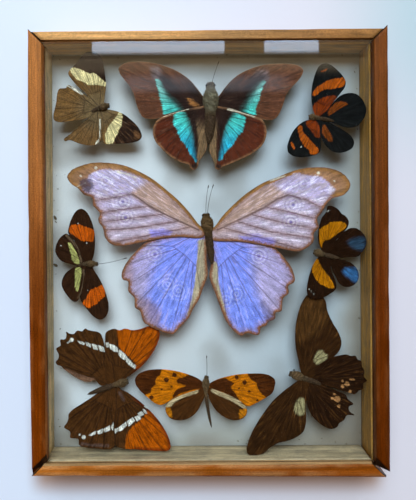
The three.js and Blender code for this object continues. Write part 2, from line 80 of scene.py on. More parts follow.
# The lamps as they would be on that sheet: near and far edge of the panes, and left, right, near and far
# edge of the sky's soft light. They are as many times larger and higher as LAMP_SCALE says, so they light
# the case from the same directions.
PANES_AWAY = (0.604, 1.7)
SKY = (-0.9, 0.7, 0.5, 2.2)
LAMP_SCALE = 2

# The floor, in metres: where its tone turns from left to right into a painted shade, where the darker
# painted shade of its far right corner comes in, and the warm foot near the lower side of the case, a painted
# shadow: where it sets in, stops under the case, and ends at either side. Then how far the floor reaches, its
# height, and the corners along an edge of a flat sheet.
FLOOR_SHADE_TURN = (-0.11, 0.12)
SHADE_CORNER_RIGHT = (0.05, 0.14)
SHADE_CORNER_FAR = (0.02, 0.14)
FOOT_SHADOW_RISE = (-0.147, -0.133)
FOOT_SHADOW_STOP = (-0.08, -0.11)
FOOT_SHADOW_ASIDE = (0.107, 0.094)
FLOOR_REACH = 2.5
FLOOR_HEIGHT = -0.0002
SHEET_CORNERS = 9

# The wings: how far one pair stands above or below the other, the veins of a wing that has none drawn, and
# how far from its middle an eye spot's rings are measured, in plan squares
WING_STAGGER = 0.35
VEINS = 8
EYE_REACH = 16.0

# The bodies: rings along the skin and corners round each, how many hairs a body has whose thorax has the
# radius that follows, in plan squares, and the height of the pin's point
BODY_RINGS = 90
BODY_SIDES = 28
HAIRS = 4200
HAIRY_THORAX = 4
PIN_TIP = 4.0

# The case, in millimetres: depth of the groove for the glass, depth and height of the rebate for the
# boards, the height of the mounting board's face and how far that board reaches under the walls. Then the
# tone of dirt, and the near-black tone painted on the cut ends as shade in the gaps of the corners.
GROOVE_DEPTH = 2.6
REBATE = (3.1, 5.8)
BOARD_TOP = 5.5
BOARD_TUCK = 2.8
DIRT_TONE = (0.17, 0.155, 0.11)
CUT_SHADE_TONE = (0.03, 0.012, 0.005)

# Dust along the walls: how many small crumbs, and the size of the few large lumps
CRUMBS = 90
LUMP_SIZE = 0.75

# Each side, in millimetres at its first and last corner: how far the lip over the glass stands back from
# the inner edge, how far that lip slopes, how much wider the side is outside and how far it bows there
# between the corners, and the share of the lip's height that is left (the lip of the top rail is thin)
SIDE_SHAPES = {
    "stile_left": ((-2.1, -1.1), 0.6, (-1.2, 0.7, -0.35), 1.0),
    "stile_right": ((0.1, 0.2), 0.2, (0.8, 0.0, 0.7), 1.0),
    "rail_top": ((1.65, 1.65), 0.1, (0.65, 0.0, 1.35), 0.3),
    "rail_bottom": ((0.0, 0.0), 0.0, (1.8, 0.0, 0.0), 1.0),
}
# The corners gape in front and meet further back: how much longer each end of a side is in front, how
# much longer again below MEETING_HEIGHT, and out to what distance from the inner edge, in millimetres
MEETING_HEIGHT = 25.6
MEETING = {
    "stile_left": ((-0.6, 4.2, 9.0), (0.0, 0.0, 9.0)),
    "stile_right": ((0.0, 0.0, 9.0), (-0.4, 3.85, 3.9)),
    "rail_top": ((0.6, 1.15, 9.0), (0.7, 0.9, 9.0)),
    "rail_bottom": ((-0.6, 0.6, 9.0), (0.0, 0.0, 9.0)),
}

# Between which places along each side, in millimetres from its first inner corner, the stain turns from
# the first tone to the second. On the left stile and the top rail the lighter tone is partly a painted
# highlight, the window's sheen on the varnish.
STAIN_TURN = {
    "stile_left": (55, 215), "stile_right": (10, 150), "rail_top": (10, 165), "rail_bottom": (30, 190),
}

# Each butterfly: the height of its body, its spine from head over waist to tail, the share of the spine
# that is head and thorax, and their radii, feelers, and wings as (rise to the far end, under or over the
# other pair, outline from the root and round). Places are in plan squares, heights in millimetres.
BUTTERFLIES = {
    "large_blue": {
        "height": 17.2, "spine": "205.6,213.5 208.2,232 212,264.5",
        "thorax_end": 0.52, "thorax": 5.8, "abdomen": 4,
        "feelers": ["206,216 206.3,200 208.6,185", "207.4,216 209.2,200 213.6,184.2"],
        "wings": {
            "left_fore": (1.3, 1,
                "205,231 198,223.5 190,213 178.6,200.5 166,189.5 152,178.7 139,171.5 123.8,165.4 "
                "107,162.8 92,163 79,166.6 71.5,170.5 67.5,177 71,183.5 79,189 84,194.5 92,197.8 "
                "93.5,205.5 100,213.8 98.3,220.5 103.5,229 105,236.8 111,243.8 120,246 140,242.8 158,239 "
                "178,236.8 203,237"),
            "right_fore": (1.3, 1,
                "209,231 215,226 222,216.5 232,206 247,193 263.8,182.5 278,177 290,172 303,168.3 "
                "316,167.3 328,168 340,172 347,178 350,184.5 348,190.5 342,195.7 335,196.5 326,204.5 "
                "322,212 317,219 318.5,227 313.5,234 313.5,241 307,247.5 298,251.3 275,247.5 242,241.8 "
                "210,239"),
            "left_hind": (0.7, -1,
                "205,230 190,232 160,236.5 147,241.5 137.5,249.5 130,258 124.5,266 121.7,274 123,279.5 "
                "128.3,281.5 128.5,291 134.5,298 135,307 140,311 143.5,321.5 148,325 162,331.5 "
                "173.5,333.8 179,328 189,317.5 193,309 199,299 203.5,287 207.8,274 206.5,258 207,244"),
            "right_hind": (0.7, -1,
                "209,230 222,233.5 255,239.5 268,243.5 277,249.5 285,258.5 290.5,266 293.5,273 294.3,281.5 "
                "288,286 288.5,293 283,298 281,311 275.5,312.5 274.8,318.5 268,322 265.5,326 261,327 "
                "258.5,334.5 247,333 241,335.5 236,333 226,321 221,309 215,293 209.3,276.5 211,262 "
                "210,244"),
        },
    },
    "turquoise_band": {
        "height": 15.3, "spine": "210.4,82.5 210.4,112 208.8,145",
        "thorax_end": 0.5, "thorax": 7.4, "abdomen": 5.6,
        "feelers": ["211,86 214.5,74 219,61.5"],
        "wings": {
            "left_fore": (1.1, -1,
                "209,104 203,96.5 197,88.5 189.5,80 179,72.5 168,67.5 157,64 146,62.3 134,62 124,64 "
                "118.8,68.5 119.5,73 124,79.5 130,87 134,95 136,103 139,111 143,117.5 148,119 156,119 "
                "176,114 207,110"),
            "right_fore": (1.1, -1,
                "211,104 218.5,96.5 224,89 231.5,80.5 240,74 252,68.5 265,65 279,64 290,64.3 298,66 "
                "302.8,70 301.5,76 296,83 290,89.5 286,95.5 283.5,103 280.5,111 276,118 270,120.5 "
                "261,119.5 242,114 211,110"),
            "left_hind": (0.7, 1,
                "209,106 199,107.3 189,109 178,112 168,115 158.5,119.5 154,125.5 153,134 155.5,141.5 "
                "161,148 167,154 174,159 182,163 189,165 190.5,168.5 194,170.2 197.3,167.5 199,162 "
                "203,156 207,148 206,136"),
            "right_hind": (0.7, 1,
                "211,106 221,107 232,109 243,113 254,116.5 262,120 266,127 266,137 262,145.5 254,152.5 "
                "245,157.5 236,161.5 228,165 222,167.5 219,170.2 215.3,168.5 214.5,163.5 211.5,157 "
                "209,149 212,136"),
        },
    },
    "yellow_band": {
        "height": 15, "spine": "109.8,105.7 101.5,108 91,112.5",
        "thorax_end": 0.6, "thorax": 3.4, "abdomen": 2.6,
        "feelers": [],
        "wings": {
            "upper_fore": (0.9, -1,
                "100,108 104,103 105.3,95 106.3,84 105,74 103,62 100,56 93,52.3 87,52.6 82,56.5 77,63 "
                "72,68.5 68.5,73.5 75.5,84 88,96 95,105"),
            "upper_hind": (0.7, 1,
                "98,109 92,100 84,94.5 76,89 67.5,85.3 66.5,88.2 60,89 58,92 56.5,103 53.8,119 57,122 "
                "74,121 84,119.5 94,115"),
            "lower_hind": (0.7, 1,
                "98,109.5 88,119.5 78,127.5 68.5,136 64,139.5 65.5,141.5 70,140.4 80,144 92,146 97,144.5 "
                "101.5,139.5 101.5,131 102,120"),
            "lower_fore": (0.9, -1,
                "100,108.5 104,109.3 110,110 117,111.5 124,114.5 130,119 136,124.5 140.5,131 142,137 "
                "139.5,140.5 133,142.8 124,143.8 113,144 105,143.8 101.5,131 100.5,120"),
        },
    },
    "orange_stripe": {
        "height": 16, "spine": "308.5,117.4 317.5,118.4 335,121.8",
        "thorax_end": 0.45, "thorax": 3, "abdomen": 2.2,
        "feelers": [],
        "wings": {
            "upper_fore": (1, 1,
                "316.5,119 313.3,112 311.3,102 311.2,91 312.8,81 315.7,72 319.5,65.7 324.5,63.6 "
                "330.5,65.3 337,70.5 342.5,76.5 345.2,82 344.5,87.5 340.5,93 331,105 323,118"),
            "upper_hind": (1.9, -1,
                "320,119.3 327,110 334,101.5 340,96 347,93.5 355,94 361,98.5 364.5,104.5 366,110 "
                "364.5,116.5 361.5,121.5 357,126 350,128 342,126.8 335,124"),
            "lower_hind": (1, -1,
                "320,119 330,123 338,127.5 345.5,132 351,136.5 353.7,142.5 352,148 346.5,151.5 339,153 "
                "332,151.5 326.5,147 322,140.5 320,130"),
            "lower_fore": (1, 1,
                "316.5,118.5 311,119.5 304,121.5 298,125.5 292.5,132 289,139.5 287,147 288,152.5 "
                "292.5,156 300,157.5 308,156.8 315,155 319.5,152 320.5,147 320.5,140 321.5,119.5"),
        },
    },
    "red_patch": {
        "height": 15, "spine": "98.6,264 88.5,263.8 77.5,265",
        "thorax_end": 0.62, "thorax": 2.9, "abdomen": 1.9,
        "feelers": ["97.5,263.9 111,262 127.5,257.6"],
        "wings": {
            "upper_fore": (0.9, -1,
                "90,264 93.5,257 95,249 95.3,239 94,228.5 91,219 87,212 82,208.8 77,210.5 72.5,217 "
                "69.5,225.5 68.5,233 76,242.5 84,264"),
            "upper_hind": (0.6, 1,
                "86,264 82,257 79.5,249.5 75.5,242 70,235.5 66.5,233.5 61,237 57,243.5 55.6,251 "
                "57.8,256.5 62,261 68,263.3 80,265.5"),
            "lower_hind": (0.6, 1,
                "86,264 78,265.5 71,268.8 66,273 62.7,279 62,285 64.5,291 68.5,296.5 73,301 77,301.5 "
                "80,297 82.5,288.5 84,279 85.5,270"),
            "lower_fore": (0.9, -1,
                "91,263.5 94,269.5 98.5,276.5 103,285 106.5,294.5 108.8,304 108.2,312 104.5,318 "
                "99.5,319.3 94,316.5 88,310 83,303.5 80.3,298 84,264"),
        },
    },
    "blue_spot": {
        "height": 15.6, "spine": "313.5,251.6 322.5,254 339.5,258.5",
        "thorax_end": 0.48, "thorax": 3.6, "abdomen": 2.4,
        "feelers": [],
        "wings": {
            "upper_fore": (0.4, 1,
                "323,254 320,248 318,241 317.5,233 319,225 321.5,217.5 325.5,212 327.5,206 332,206 "
                "338,209.5 341.5,213.8 344.5,215.5 348.3,221 347.5,226.5 343,232.5 337,238.5 329,252"),
            "upper_hind": (1.9, -1,
                "325,254.5 331,246.5 337.5,238.5 344,231.5 350,228 356,228.2 361.5,232 365,237 366,242.5 "
                "364.5,248 361,253 357,256.5 349,257 330,257.5"),
            "lower_hind": (1.2, -1,
                "325,254.5 335,258.3 343,259.8 349.5,262 354,265.5 357.5,270.5 358.3,277 356,282.5 "
                "350.5,286.3 344,286.6 339,283.5 335.5,277.5 330,265"),
            "lower_fore": (0.8, 1,
                "323,253.5 318,257 313.5,263 310.5,270 308,279 306.5,288 307,294 310.5,297.5 317,298.8 "
                "323,297.5 330,293.5 335,289.5 336,285.5 334.5,279 331.5,272 328,256"),
        },
    },
    "white_bar": {
        "height": 15, "spine": "128.5,380.8 114.5,384.4 87.5,394",
        "thorax_end": 0.45, "thorax": 4, "abdomen": 2.9,
        "feelers": [],
        "wings": {
            "upper_fore": (0.8, 1,
                "116,385 120,381 127.5,377 135,371.5 141.5,366 148,359 154,350.5 158,342 159.8,334 "
                "158.5,329 154,326.5 148,326 141,328.5 133,329.8 125,328.2 120,329.8 115,328.5 110,329.5 "
                "106,332.5 105.3,340 105.3,355 108,384"),
            "upper_hind": (0.6, -1,
                "111,385 107,372 106,352 103.5,340 101,333.5 98,331.5 93,330.6 88.5,329.6 85.5,328 "
                "82.5,330.8 77.5,330.3 74,333.5 70,333.3 66.3,331.3 66.8,335.5 65,339 60.6,339.3 60.8,345 "
                "56.5,348.3 58.8,353.5 58.8,358 56,361.5 57.5,364.5 61,365.5 64,368.5 70,373 76,377 "
                "83,380.5 90,381.5 95,379.5 101,385"),
            "lower_hind": (0.6, -1,
                "112,385 100,391 91,397.5 87,400 80,404.5 73,409 69,413.5 68.5,418.5 67,422.5 64.3,426.5 "
                "70.5,431.5 70.5,437 78.5,438.5 79.5,444.5 86,446.8 98,448 112,448 117,440 117,410"),
            "lower_fore": (0.8, 1,
                "116,384 121,388.5 128,392 135,397 142,402.5 149,409 156,416.5 162,424.5 167,433 170,441 "
                "170.5,448 166,450.5 158,450.3 146,449.5 134,448.5 124,448 116,445 114.5,430 112,386"),
        },
    },
    "amber": {
        "height": 15.5, "spine": "206.8,375 206.2,396 211.7,427.4",
        "thorax_end": 0.4, "thorax": 3.3, "abdomen": 1.7,
        "feelers": ["206.8,377 206.9,366 206.6,355"],
        "wings": {
            "left_fore": (0.9, -1,
                "206.5,386 203.5,382.3 198,378 190,374.5 180,371.5 168,369.3 156,368.8 145,370.5 "
                "137.5,374.5 135,380 137,386 142,392 149,398 155,402.8 161,404.5 167,402 176,396 205,390"),
            "right_fore": (0.9, -1,
                "207,386 210.5,382.3 217,379 227,376 239,373.8 252,373 263,373.3 270,375.2 274.8,379.5 "
                "274.5,386 272,392.5 266,397 259,401 252.5,404.5 248,405.8 242,403.5 230,396 208,390"),
            "left_hind": (0.6, 1,
                "206,387 197,389.7 187,392.5 177,396.5 169,401.5 165.5,407 166.5,413 170,417.5 176,419.5 "
                "184,419.3 191,416.5 197,411 201.5,403 205,395"),
            "right_hind": (0.6, 1,
                "207,387 215,389.2 224,392.5 233,396.5 241,401.5 246,406.5 247,411.5 244.5,416.5 "
                "238,419.5 230,419 221,414.5 214.5,408 208,395"),
        },
    },
    "dark_swallowtail": {
        "height": 15.2, "spine": "288.8,372.8 302,377 322,384",
        "thorax_end": 0.55, "thorax": 4, "abdomen": 2.6,
        "feelers": [],
        "wings": {
            "upper_fore": (-0.9, 1,
                "303,378 300.3,371 298,360 295.5,348 294.7,336 295.5,324 298,312 302,301.5 307,294.5 "
                "314,291.5 321,295 325.5,301.5 326.5,308 328.5,314.5 333,323.5 338,332 341,341 340,348 "
                "335.5,354.5 326,361 309,379"),
            "upper_hind": (2.4, -1,
                "304,378.5 313,368.5 322,362 331,357 340,354.8 346,354 350,355.5 355,355.3 357.3,359 "
                "361,360.8 361.5,366 363.8,370 363.3,376 366.5,380.3 362.8,383 362.3,388.5 358.5,390 "
                "354.5,393.5 348,392 330,386.5"),
            "lower_hind": (1.4, -1,
                "304,378.5 320,383.5 338,391 345,394 347.5,398.5 353,403.5 348.5,406 349,410.5 354,414.5 "
                "346.5,414.8 343.5,419.5 339,422.5 336.5,426.5 330.5,428.5 324,426 317,421 311.5,415 "
                "308,408 305,395"),
            "lower_fore": (2.6, 1,
                "303,377.5 297,380.5 290,385.5 281,392.5 272.5,400.5 265,410 258,420.5 252,431 248,441 "
                "246.3,449 248.5,454 256,454.5 263,453 270,447 278,442.5 288,440 297,436 303,431 "
                "305.5,423 305.9,410 306,396 309,380"),
        },
    },
}

# Markings in plan squares: what they are, the wing they lie on, and their shape. Pairs are an outline,
# triples are round spots with their radii, and a fourth item makes the pairs a line of that half width.
MARKS = {
    "large_blue": [
        ("apex", "left_fore", "67.5,177 71,170 79,166 92,163 107,163 123.8,165.5 139,171.5 152,178.7 "
         "145,179 135,175.5 122,171 110,169.5 98,170.5 90,175 88,180 91,186 84,188 79,189.5 71,183.5"),
        ("apex", "right_fore", "350,184.5 347,178 340,172 328,168 316,167.3 303,168.3 290,172 275,178.5 "
         "283,176 297,173 306,175.5 318,176 325,180 331,186 335,190 330,196 335,196.5 342,195.7 348,190.5"),
        ("dusk", "left_fore", "80,182 84,179 90,179.5 94,185 92,190 87,192 82,188"),
        ("pale", "left_fore", "96,168,1.5 81,176,1.3"),
        ("pale", "right_fore", "318,173,1.4 334,181,1.4"),
        ("pale", "left_fore", "77,187 86,183", 0.5),
        ("pale", "left_fore", "118,172 128,174.6 136,178", 0.7),
        ("pale", "right_fore", "270,181 278,178 285,176", 0.7),
        ("cell", "left_fore", "198,225 190,215 178,202 166,191 150,180.5 143,185 135,190 133,194 141,199 "
         "150,206 162,213 178,220 192,227"),
        ("cell", "right_fore", "213,227 222,217 232,207.5 247,195 262,185.5 270,183 280,190 284,193.5 "
         "275,200 262,208 245,217 228,224 216,229"),
        ("nerve", "left_fore", "199,230 178,220.5 150,206.5 140,199 133,194", 0.8),
        ("nerve", "right_fore", "217,230 240,219 265,207 277,199 288,195", 0.8),
        ("nerve", "left_fore", "133,194 112,198 92,201", 0.35),
        ("nerve", "left_fore", "150,206 125,209 100,213", 0.35),
        ("nerve", "left_fore", "165,214 140,217 103,222", 0.35),
        ("nerve", "left_fore", "178,221 135,228 104,230", 0.35),
        ("nerve", "left_fore", "190,227 150,235 110,243", 0.35),
        ("nerve", "right_fore", "288,195 306,200 322,208", 0.35),
        ("nerve", "right_fore", "265,207 290,212 317,219", 0.35),
        ("nerve", "right_fore", "250,214 280,222 316,229", 0.35),
        ("nerve", "right_fore", "236,221 272,232 312,238", 0.35),
        ("nerve", "right_fore", "224,228 262,238 300,249", 0.35),
        ("violet", "left_fore", "150,230 162,229 172,232 168,237 152,237"),
        ("violet", "right_fore", "240,236 258,235 275,240 274,246 255,245 242,241"),
        ("inner", "left_hind", "199,240 205,240 206.5,258 207.8,274 203.5,287 199,299 193,309 189.5,316 "
         "187,316 190,305 193.5,290 196,270 197.5,252"),
        ("inner", "right_hind", "209.5,276 213,262 216,262 219,285 224,305 227,320 222,312 215,293"),
        ("lilac_hind", "left_hind", "118,240 148,240 160,250 152,268 150,285 146,300 152,338 120,330 "
         "116,270"),
        ("faded", "left_hind", "122,263 130,261 134,270 133,280 125,281 121,274"),
        ("faded", "left_hind", "137,300 146,298 158,306 161,322 156,331 146,325 140,312"),
        ("lilac_hind", "right_hind", "256,243 268,246 280,252 294,270 295,283 289,287 284,300 282,312 "
         "272,318 262,306 256,290 252,268"),
        ("torn", "right_hind", "260,300 266,303 271,310 275,318 270,324 265,318 262,309"),
        ("torn", "left_hind", "158,261 157,265 154,269 152,272", 0.6),
        ("torn", "right_hind", "232,258 235,262", 0.7),
        ("eyes", "left_fore", "123,201.7,16 125.7,217.6,16 105.3,181,13"),
        ("eyes", "left_hind", "155,254,16 168,284,15 178.5,290.5,15"),
        ("eyes", "right_fore", "293,204.8,16 290.6,222,16 304,184,13"),
        ("eyes", "right_hind", "258.7,256,16 236.4,294,15 226,300,14"),
        ("costa", "left_fore", "203,230 190,214.5 178.6,202 166,191 152,180.2 139,173 124,167", 1.9),
        ("costa", "right_fore", "211,230 222,218 232,207.5 247,194.5 263.8,184 278,178.3 290,173.5", 1.9),
    ],
    "turquoise_band": [
        ("band", "left_fore", "155.5,80.5 159,80.3 161.5,83 165,88.5 170,94 176,99 181.5,105.5 183.5,108.5 "
         "178,111 171,113 164,114.5 163,108 161,101 159.5,95 158,88"),
        ("band", "right_fore", "265,82 259,82.5 254,85 250,91 246,97 243,103 239,110.5 247,113.5 "
         "254.5,115.5 256,108 259,100 260,93 262.5,87"),
        ("band", "left_hind", "176,113.5 181,112 186,112.8 189,118 191.5,126 194,135 195.8,146 196.5,155 "
         "195.8,161.5 193,158 189,151.5 184.5,144 180.5,138 177.5,131 174.5,126 173.5,119"),
        ("band", "right_hind", "245,118 238,114.5 232,113.5 227.5,122 224,131 221.5,141 219.5,151 218,161 "
         "220.5,160.5 224,154.5 229,148.5 233,144 238,135.5 242.5,131.5 244,125"),
        ("shade", "left_fore", "162,77 168,80 174,86 184,100 190,108 184,110 176,103 168,94"),
        ("shade", "right_fore", "262,78 255,79 247,86 240,97 234,109 241,111 247,101 254,90"),
        ("shade", "left_hind", "186,110 193,112 197,125 198,145 197,158 194,140 191,124"),
        ("shade", "right_hind", "233,111 226,112 221,125 219,145 218,158 221,140 225,124"),
        ("smoke", "left_fore", "150,68 158,67 164,76 166,84 157,84 152,76"),
        ("smoke", "right_fore", "258,70 267,70 269,78 264,85 255,84 253,78"),
        ("tan", "left_hind", "196,112 207,110 207,140 204,156 199,163 197.5,158 198.5,146 197,128"),
        ("tan", "right_hind", "209,110 217,112 217,128 216,146 217,158 215.5,165 211,156 208.5,140"),
        ("tail", "left_hind", "190.5,166 194,170 198,166 196,163.5 193,163.5"),
        ("tail", "right_hind", "215,166 219,170 222,167 220,164 217,164"),
        ("tuft", "left_fore", "188,99 193,101 199,106 196,108 190,105"),
        ("fringe", "left_hind", "163,116 172,113 180,110.8 188,108.6", 0.9),
        ("fringe", "right_hind", "254,117 245,114 236,111.4 228,109.6", 0.9),
    ],
    "yellow_band": [
        ("band", "upper_fore", "70.3,70.5 73,68 77,68.7 82,70.3 86,72.5 89.5,74 93,73.3 96.5,75 100,78 "
         "103,80.5 106,83 105.5,86.5 102,86 96,85 90,85.5 87.5,84.7 83.5,82 79,80.7 75.5,78 72,74"),
        ("band", "lower_fore", "119.3,112.3 121.5,112.5 122.8,116 122,121 121.5,126 120,128.5 118.5,130 "
         "118,134 115.5,137 114,140.5 113,143.8 107,144 106,140 105,135.5 107,130.5 109.3,126 112,122.5 "
         "115,119 117.5,115.5"),
        ("tip", "upper_fore", "68,73 72,66 82,54 93,50 102,58 107,84 103,80.5 96.5,75 89.5,74 82,70.3 73,68"),
        ("tip", "lower_fore", "121.5,111 130,117 143,131 144,139 134,146 113,146 115,139 119,131 122.8,118"),
        ("patch", "lower_fore", "134,130 138,131 141,136 139,139.5 134,139"),
        ("streak_mark", "upper_hind", "67,84.7 70,86.3 75,88.5 80,91.5 84,94.3 82.5,94.8 78,92.5 73,89.5 "
         "69,87.5 66.5,86.3"),
        ("streak_mark", "lower_hind", "100.4,120 100.2,130 99.8,138", 0.6),
        ("streak_mark", "lower_hind", "99.5,139 99,143.5 96,144.5 97,141"),
        ("gold", "lower_hind", "*"),
    ],
    "orange_stripe": [
        ("stripe", "upper_fore", "319.5,71.5 322,72.8 327.5,69.5 328,68.8 325,69.8"),
        ("stripe", "upper_fore", "312.3,94 314,90.5 318,86.5 323,83.5 328,80.5 334,79 340,78.3 343,77.8 "
         "344.8,80.5 344.3,84.5 341.5,87.5 337,88 331,89.5 325,89.8 320,92 316,95.5 312.5,96"),
        ("stripe", "lower_fore", "290.3,142.5 292,142.3 294,146.5 295,150.5 293,149 291,145.5"),
        ("stripe", "lower_fore", "297.8,127 300.5,125.5 302,128 303,132.5 306,136 310.5,140.5 315,146 "
         "318.5,150 318,153 314,154.5 310,154 308.5,150 304.5,147 301,141.5 298.5,135"),
        ("base", "upper_fore", "313,106 316.5,102 322,98.5 328,96.5 333,95.8 336,97.5 334,102 330,106 "
         "327,110 322,114.5 318,117 315,116 313.2,112"),
        ("base", "lower_fore", "306.5,121.5 311,120.5 315.5,121.5 318.5,126 319.3,132 319,138 316,137.5 "
         "312.5,133.5 309.5,129.5 306.5,126"),
        ("amber_streak", "upper_hind", "327.5,112 331,107 335,103.5 339.5,102 344,102.5 347.5,105 344,106.5 "
         "338,109.5 333,113 328.5,116"),
        ("amber_streak", "lower_hind", "320.3,126.5 324,125.3 327,129 330,134.5 332.3,140.5 330,142 "
         "326.5,139.5 323,135 320.8,130.5"),
        ("fleck", "lower_fore", "301,147,0.9"),
    ],
    "red_patch": [
        ("patch", "upper_fore", "69.5,229.5 70.5,225.8 75,224.7 80,224.5 84,226.3 89,227.8 92.5,228.8 "
         "94.3,231.5 94.3,238 93,241.8 88,241 83,241.2 79,238.8 74.5,235.3 70.3,232"),
        ("patch", "lower_fore", "82.8,303.5 85,300 87.5,296 89.5,291.5 92,289 97,287 102.5,285.3 104.5,290 "
         "105.5,295 103,298 100.5,299.5 98,303 93,305.5 89.5,308 86.5,306.5"),
        ("bar", "upper_hind", "68.7,243 70.5,242.8 73.5,247 76.5,252 79,258.5 79.8,263.5 76,263.5 "
         "72.5,260 71.5,254.5 69.5,249"),
        ("bar", "lower_hind", "75.8,268 78.5,267 80.8,267.5 81.5,273 80.8,281 79.3,287 77.5,291.5 76,289 "
         "75.3,281 75.3,274"),
        ("tan", "upper_hind", "66.5,235 70,238.5 74.5,243 78.5,249 80.5,256 81.5,262", 1.0),
        ("tan", "lower_hind", "84,270 84.3,280 82,290 79,298", 1.0),
        ("fleck", "upper_fore", "78,223.5,0.7 87,243,0.6"),
        ("fleck", "upper_hind", "61,246,0.6"),
        ("fleck", "lower_fore", "88,290,0.6"),
    ],
    "blue_spot": [
        ("patch", "upper_fore", "319,234 319.5,229 323.5,226.5 327,224.5 329.5,222.5 335,221.8 341,221.8 "
         "345,223.5 345.5,227 342,230.5 337,233.5 332.5,237 328.5,239.5 324.5,240.5 322.5,243 "
         "321.5,247.5 319.8,244"),
        ("patch", "lower_fore", "312,268 313,263.5 315.5,259.5 317.5,259.3 319,263 322,268 326,273 330,279 "
         "333.3,284 333.8,287.5 329,288 324.5,285.8 319,283 315.5,278.5 312.5,273"),
        ("teal", "upper_hind", "347.5,242 352,238.8 358,237.3 362.5,237 365.3,241 364.5,246 361,250 "
         "355,249 350.5,246"),
        ("blue", "lower_hind", "342.5,271.5 345,268 350,267.8 355.5,268 357.5,272 357.3,278 356,282.5 "
         "352,280.5 349,277.5 345.5,275.5"),
        ("fleck", "upper_fore", "326.5,211.5 329.5,210.5", 0.6),
        ("fleck", "lower_fore", "309,289 313.5,294", 0.4),
    ],
    "white_bar": [
        ("sunset", "upper_fore", "117.3,329.5 118,340 119,346 124,352 130,357 135,362.5 136,368 146,366 "
         "162,345 164,325 150,320 117,324"),
        ("sunset", "lower_fore", "147,412 141,419 133,426 128,432 126,440 126,447 128,454 175,456 "
         "176,440 160,415 150,405"),
        ("bar", "upper_fore", "106,342.5 108.5,342 109,346.5 107,347"),
        ("bar", "upper_fore", "110,344 113,344.5 117.5,347 118,351.5 114.5,351 110.5,348"),
        ("bar", "upper_fore", "119.5,349.5 124,353 127,356.5 125,359.5 121.5,357.5 118.8,354"),
        ("bar", "upper_fore", "127,357 130,360 133,363.5 132.5,366.5 129.5,364.5 126.5,361.5"),
        ("bar", "upper_fore", "134,364 136,365 135,368.5 133,366.5"),
        ("bar", "upper_hind", "72,339.5,1.8"),
        ("bar", "upper_hind", "71,340.5 68,342.5", 0.6),
        ("bar", "upper_hind", "78,340.5 81,341 85,343 84,344.5 80.5,343"),
        ("bar", "upper_hind", "86,341.5 91,344 91,347 87,345"),
        ("bar", "upper_hind", "92,343.5 97,345 98,349.5 94,348.5"),
        ("bar", "upper_hind", "98.5,345 104,347 105,351.5 100.5,350.5"),
        ("bar", "lower_hind", "84,436.5,1.8 80,434,0.8"),
        ("bar", "lower_hind", "89,434.5 96,430.5 95.5,433.5 91,435"),
        ("bar", "lower_hind", "97.5,431 103,428 103,432 99,433.5"),
        ("bar", "lower_hind", "104,428.5 110,425 110,429.5 105,431.5"),
        ("bar", "lower_hind", "111.5,427 113.5,422 114.5,422.5 113,429.5"),
        ("bar", "lower_fore", "115,428.5 118,427.5 117.5,431 115.5,432.5"),
        ("bar", "lower_fore", "119,427 126,421.5 127,424.5 122,429.5 119,430.5"),
        ("bar", "lower_fore", "127.5,420.5 133,417 135,420 129,425.5"),
        ("bar", "lower_fore", "135,416.5 139,415 141,418 137,420.5"),
        ("bar", "lower_fore", "138,413 142,410.5 144,414 140,416"),
        ("bar", "lower_fore", "143,408.5 145,409.5 147,413 144.5,412.5"),
        ("bar", "lower_fore", "145,406 148,407.5", 0.5),
        ("grey", "lower_fore", "120,392 122,396 124,400", 1.0),
        ("fold", "upper_hind", "64,368 74,371 86,376 95,379 90,383 78,380 66,373"),
        ("grey", "lower_hind", "82,443 92,444.5 108,445", 1.0),
    ],
    "amber": [
        ("dark", "left_fore", "161.5,366 161.5,369.5 160,374.5 157,377 155.5,380.5 155.5,384.5 152,387.5 "
         "151,391.5 147.5,393.5 130,396 128,380 136,366"),
        ("dark", "left_fore", "204,382 197,377 190,373.8 184,376.5 178,378.5 176.8,382 181,383.5 186,385 "
         "181,387.5 176,389.5 174,393 172.5,397 182,392.5 195,389 204,387"),
        ("dark", "left_fore", "174.5,374.5,2.3 166.5,379.5,2.4 171.5,386.2,1.2 161.8,389,1.2 151.5,397,2"),
        ("dark", "right_fore", "247.5,370 247.5,373 249,376.5 252,380 256,381.5 257,386 259,390 262,393.5 "
         "265,396 268,400 282,390 280,374 268,368"),
        ("dark", "right_fore", "209,383 217,379.3 225,377.5 229,380 234,383 231,386 231.5,388.5 235,392.5 "
         "238,397 240,402 232,396.5 222,391.5 211,388"),
        ("dark", "right_fore", "236.5,376.5,2 244.5,382,2.3 239,388,1.2 249,391,1.3 257,399.5,1.5"),
        ("cream", "left_hind", "198,389.5 187,392.3 177,396.3 169,401.3 165.3,406.5 170,406.5 174,402.5 "
         "181,398.5 190,394.5 198,391.5"),
        ("cream", "right_hind", "212,388.5 222,391.5 232,396 241,401.5 246.5,408 243,407.5 236,403 "
         "227,398.5 218,394.5 211,390.5"),
        ("corner", "left_hind", "165.5,407 170,406.5 171.5,410 172.5,417.5 168,415.5 166,411.5"),
        ("corner", "right_hind", "240,408.5 246.5,408 247,412 244.5,416.5 240,418.5 238.5,414"),
    ],
    "dark_swallowtail": [
        ("cream", "upper_fore", "314,357 315.5,353.5 318.5,350.5 322,350.3 324,353 327,355 326.5,358 "
         "322,361 317,364 314.5,362"),
        ("cream", "lower_fore", "294.5,405 296,401 299.5,397.5 303,398.5 304.2,404 304.2,411 302.5,414 "
         "297,414 294.5,409.5"),
        ("split", "upper_fore", "312,351 319,357 325,363", 0.35),
        ("split", "upper_fore", "317,347 323,354 329,359", 0.35),
        ("split", "lower_fore", "298.5,396 298.5,416", 0.35),
        ("split", "lower_fore", "301.5,396 300.8,416", 0.3),
        ("spot", "upper_hind", "346.5,383.5,2.6 342,380.5,1.2 342,386,1.6 349.5,391,1.5"),
        ("spot", "upper_hind", "350,379 353.5,379", 0.9),
        ("spot", "lower_hind", "337,398.5,3 334,393.5,1.2 332,397.5,1.4 338.5,405.5,1.7"),
        ("light", "upper_fore", "296,340 296,320 304,298 314,292 322,300 328,318 320,330 308,338"),
    ],
}


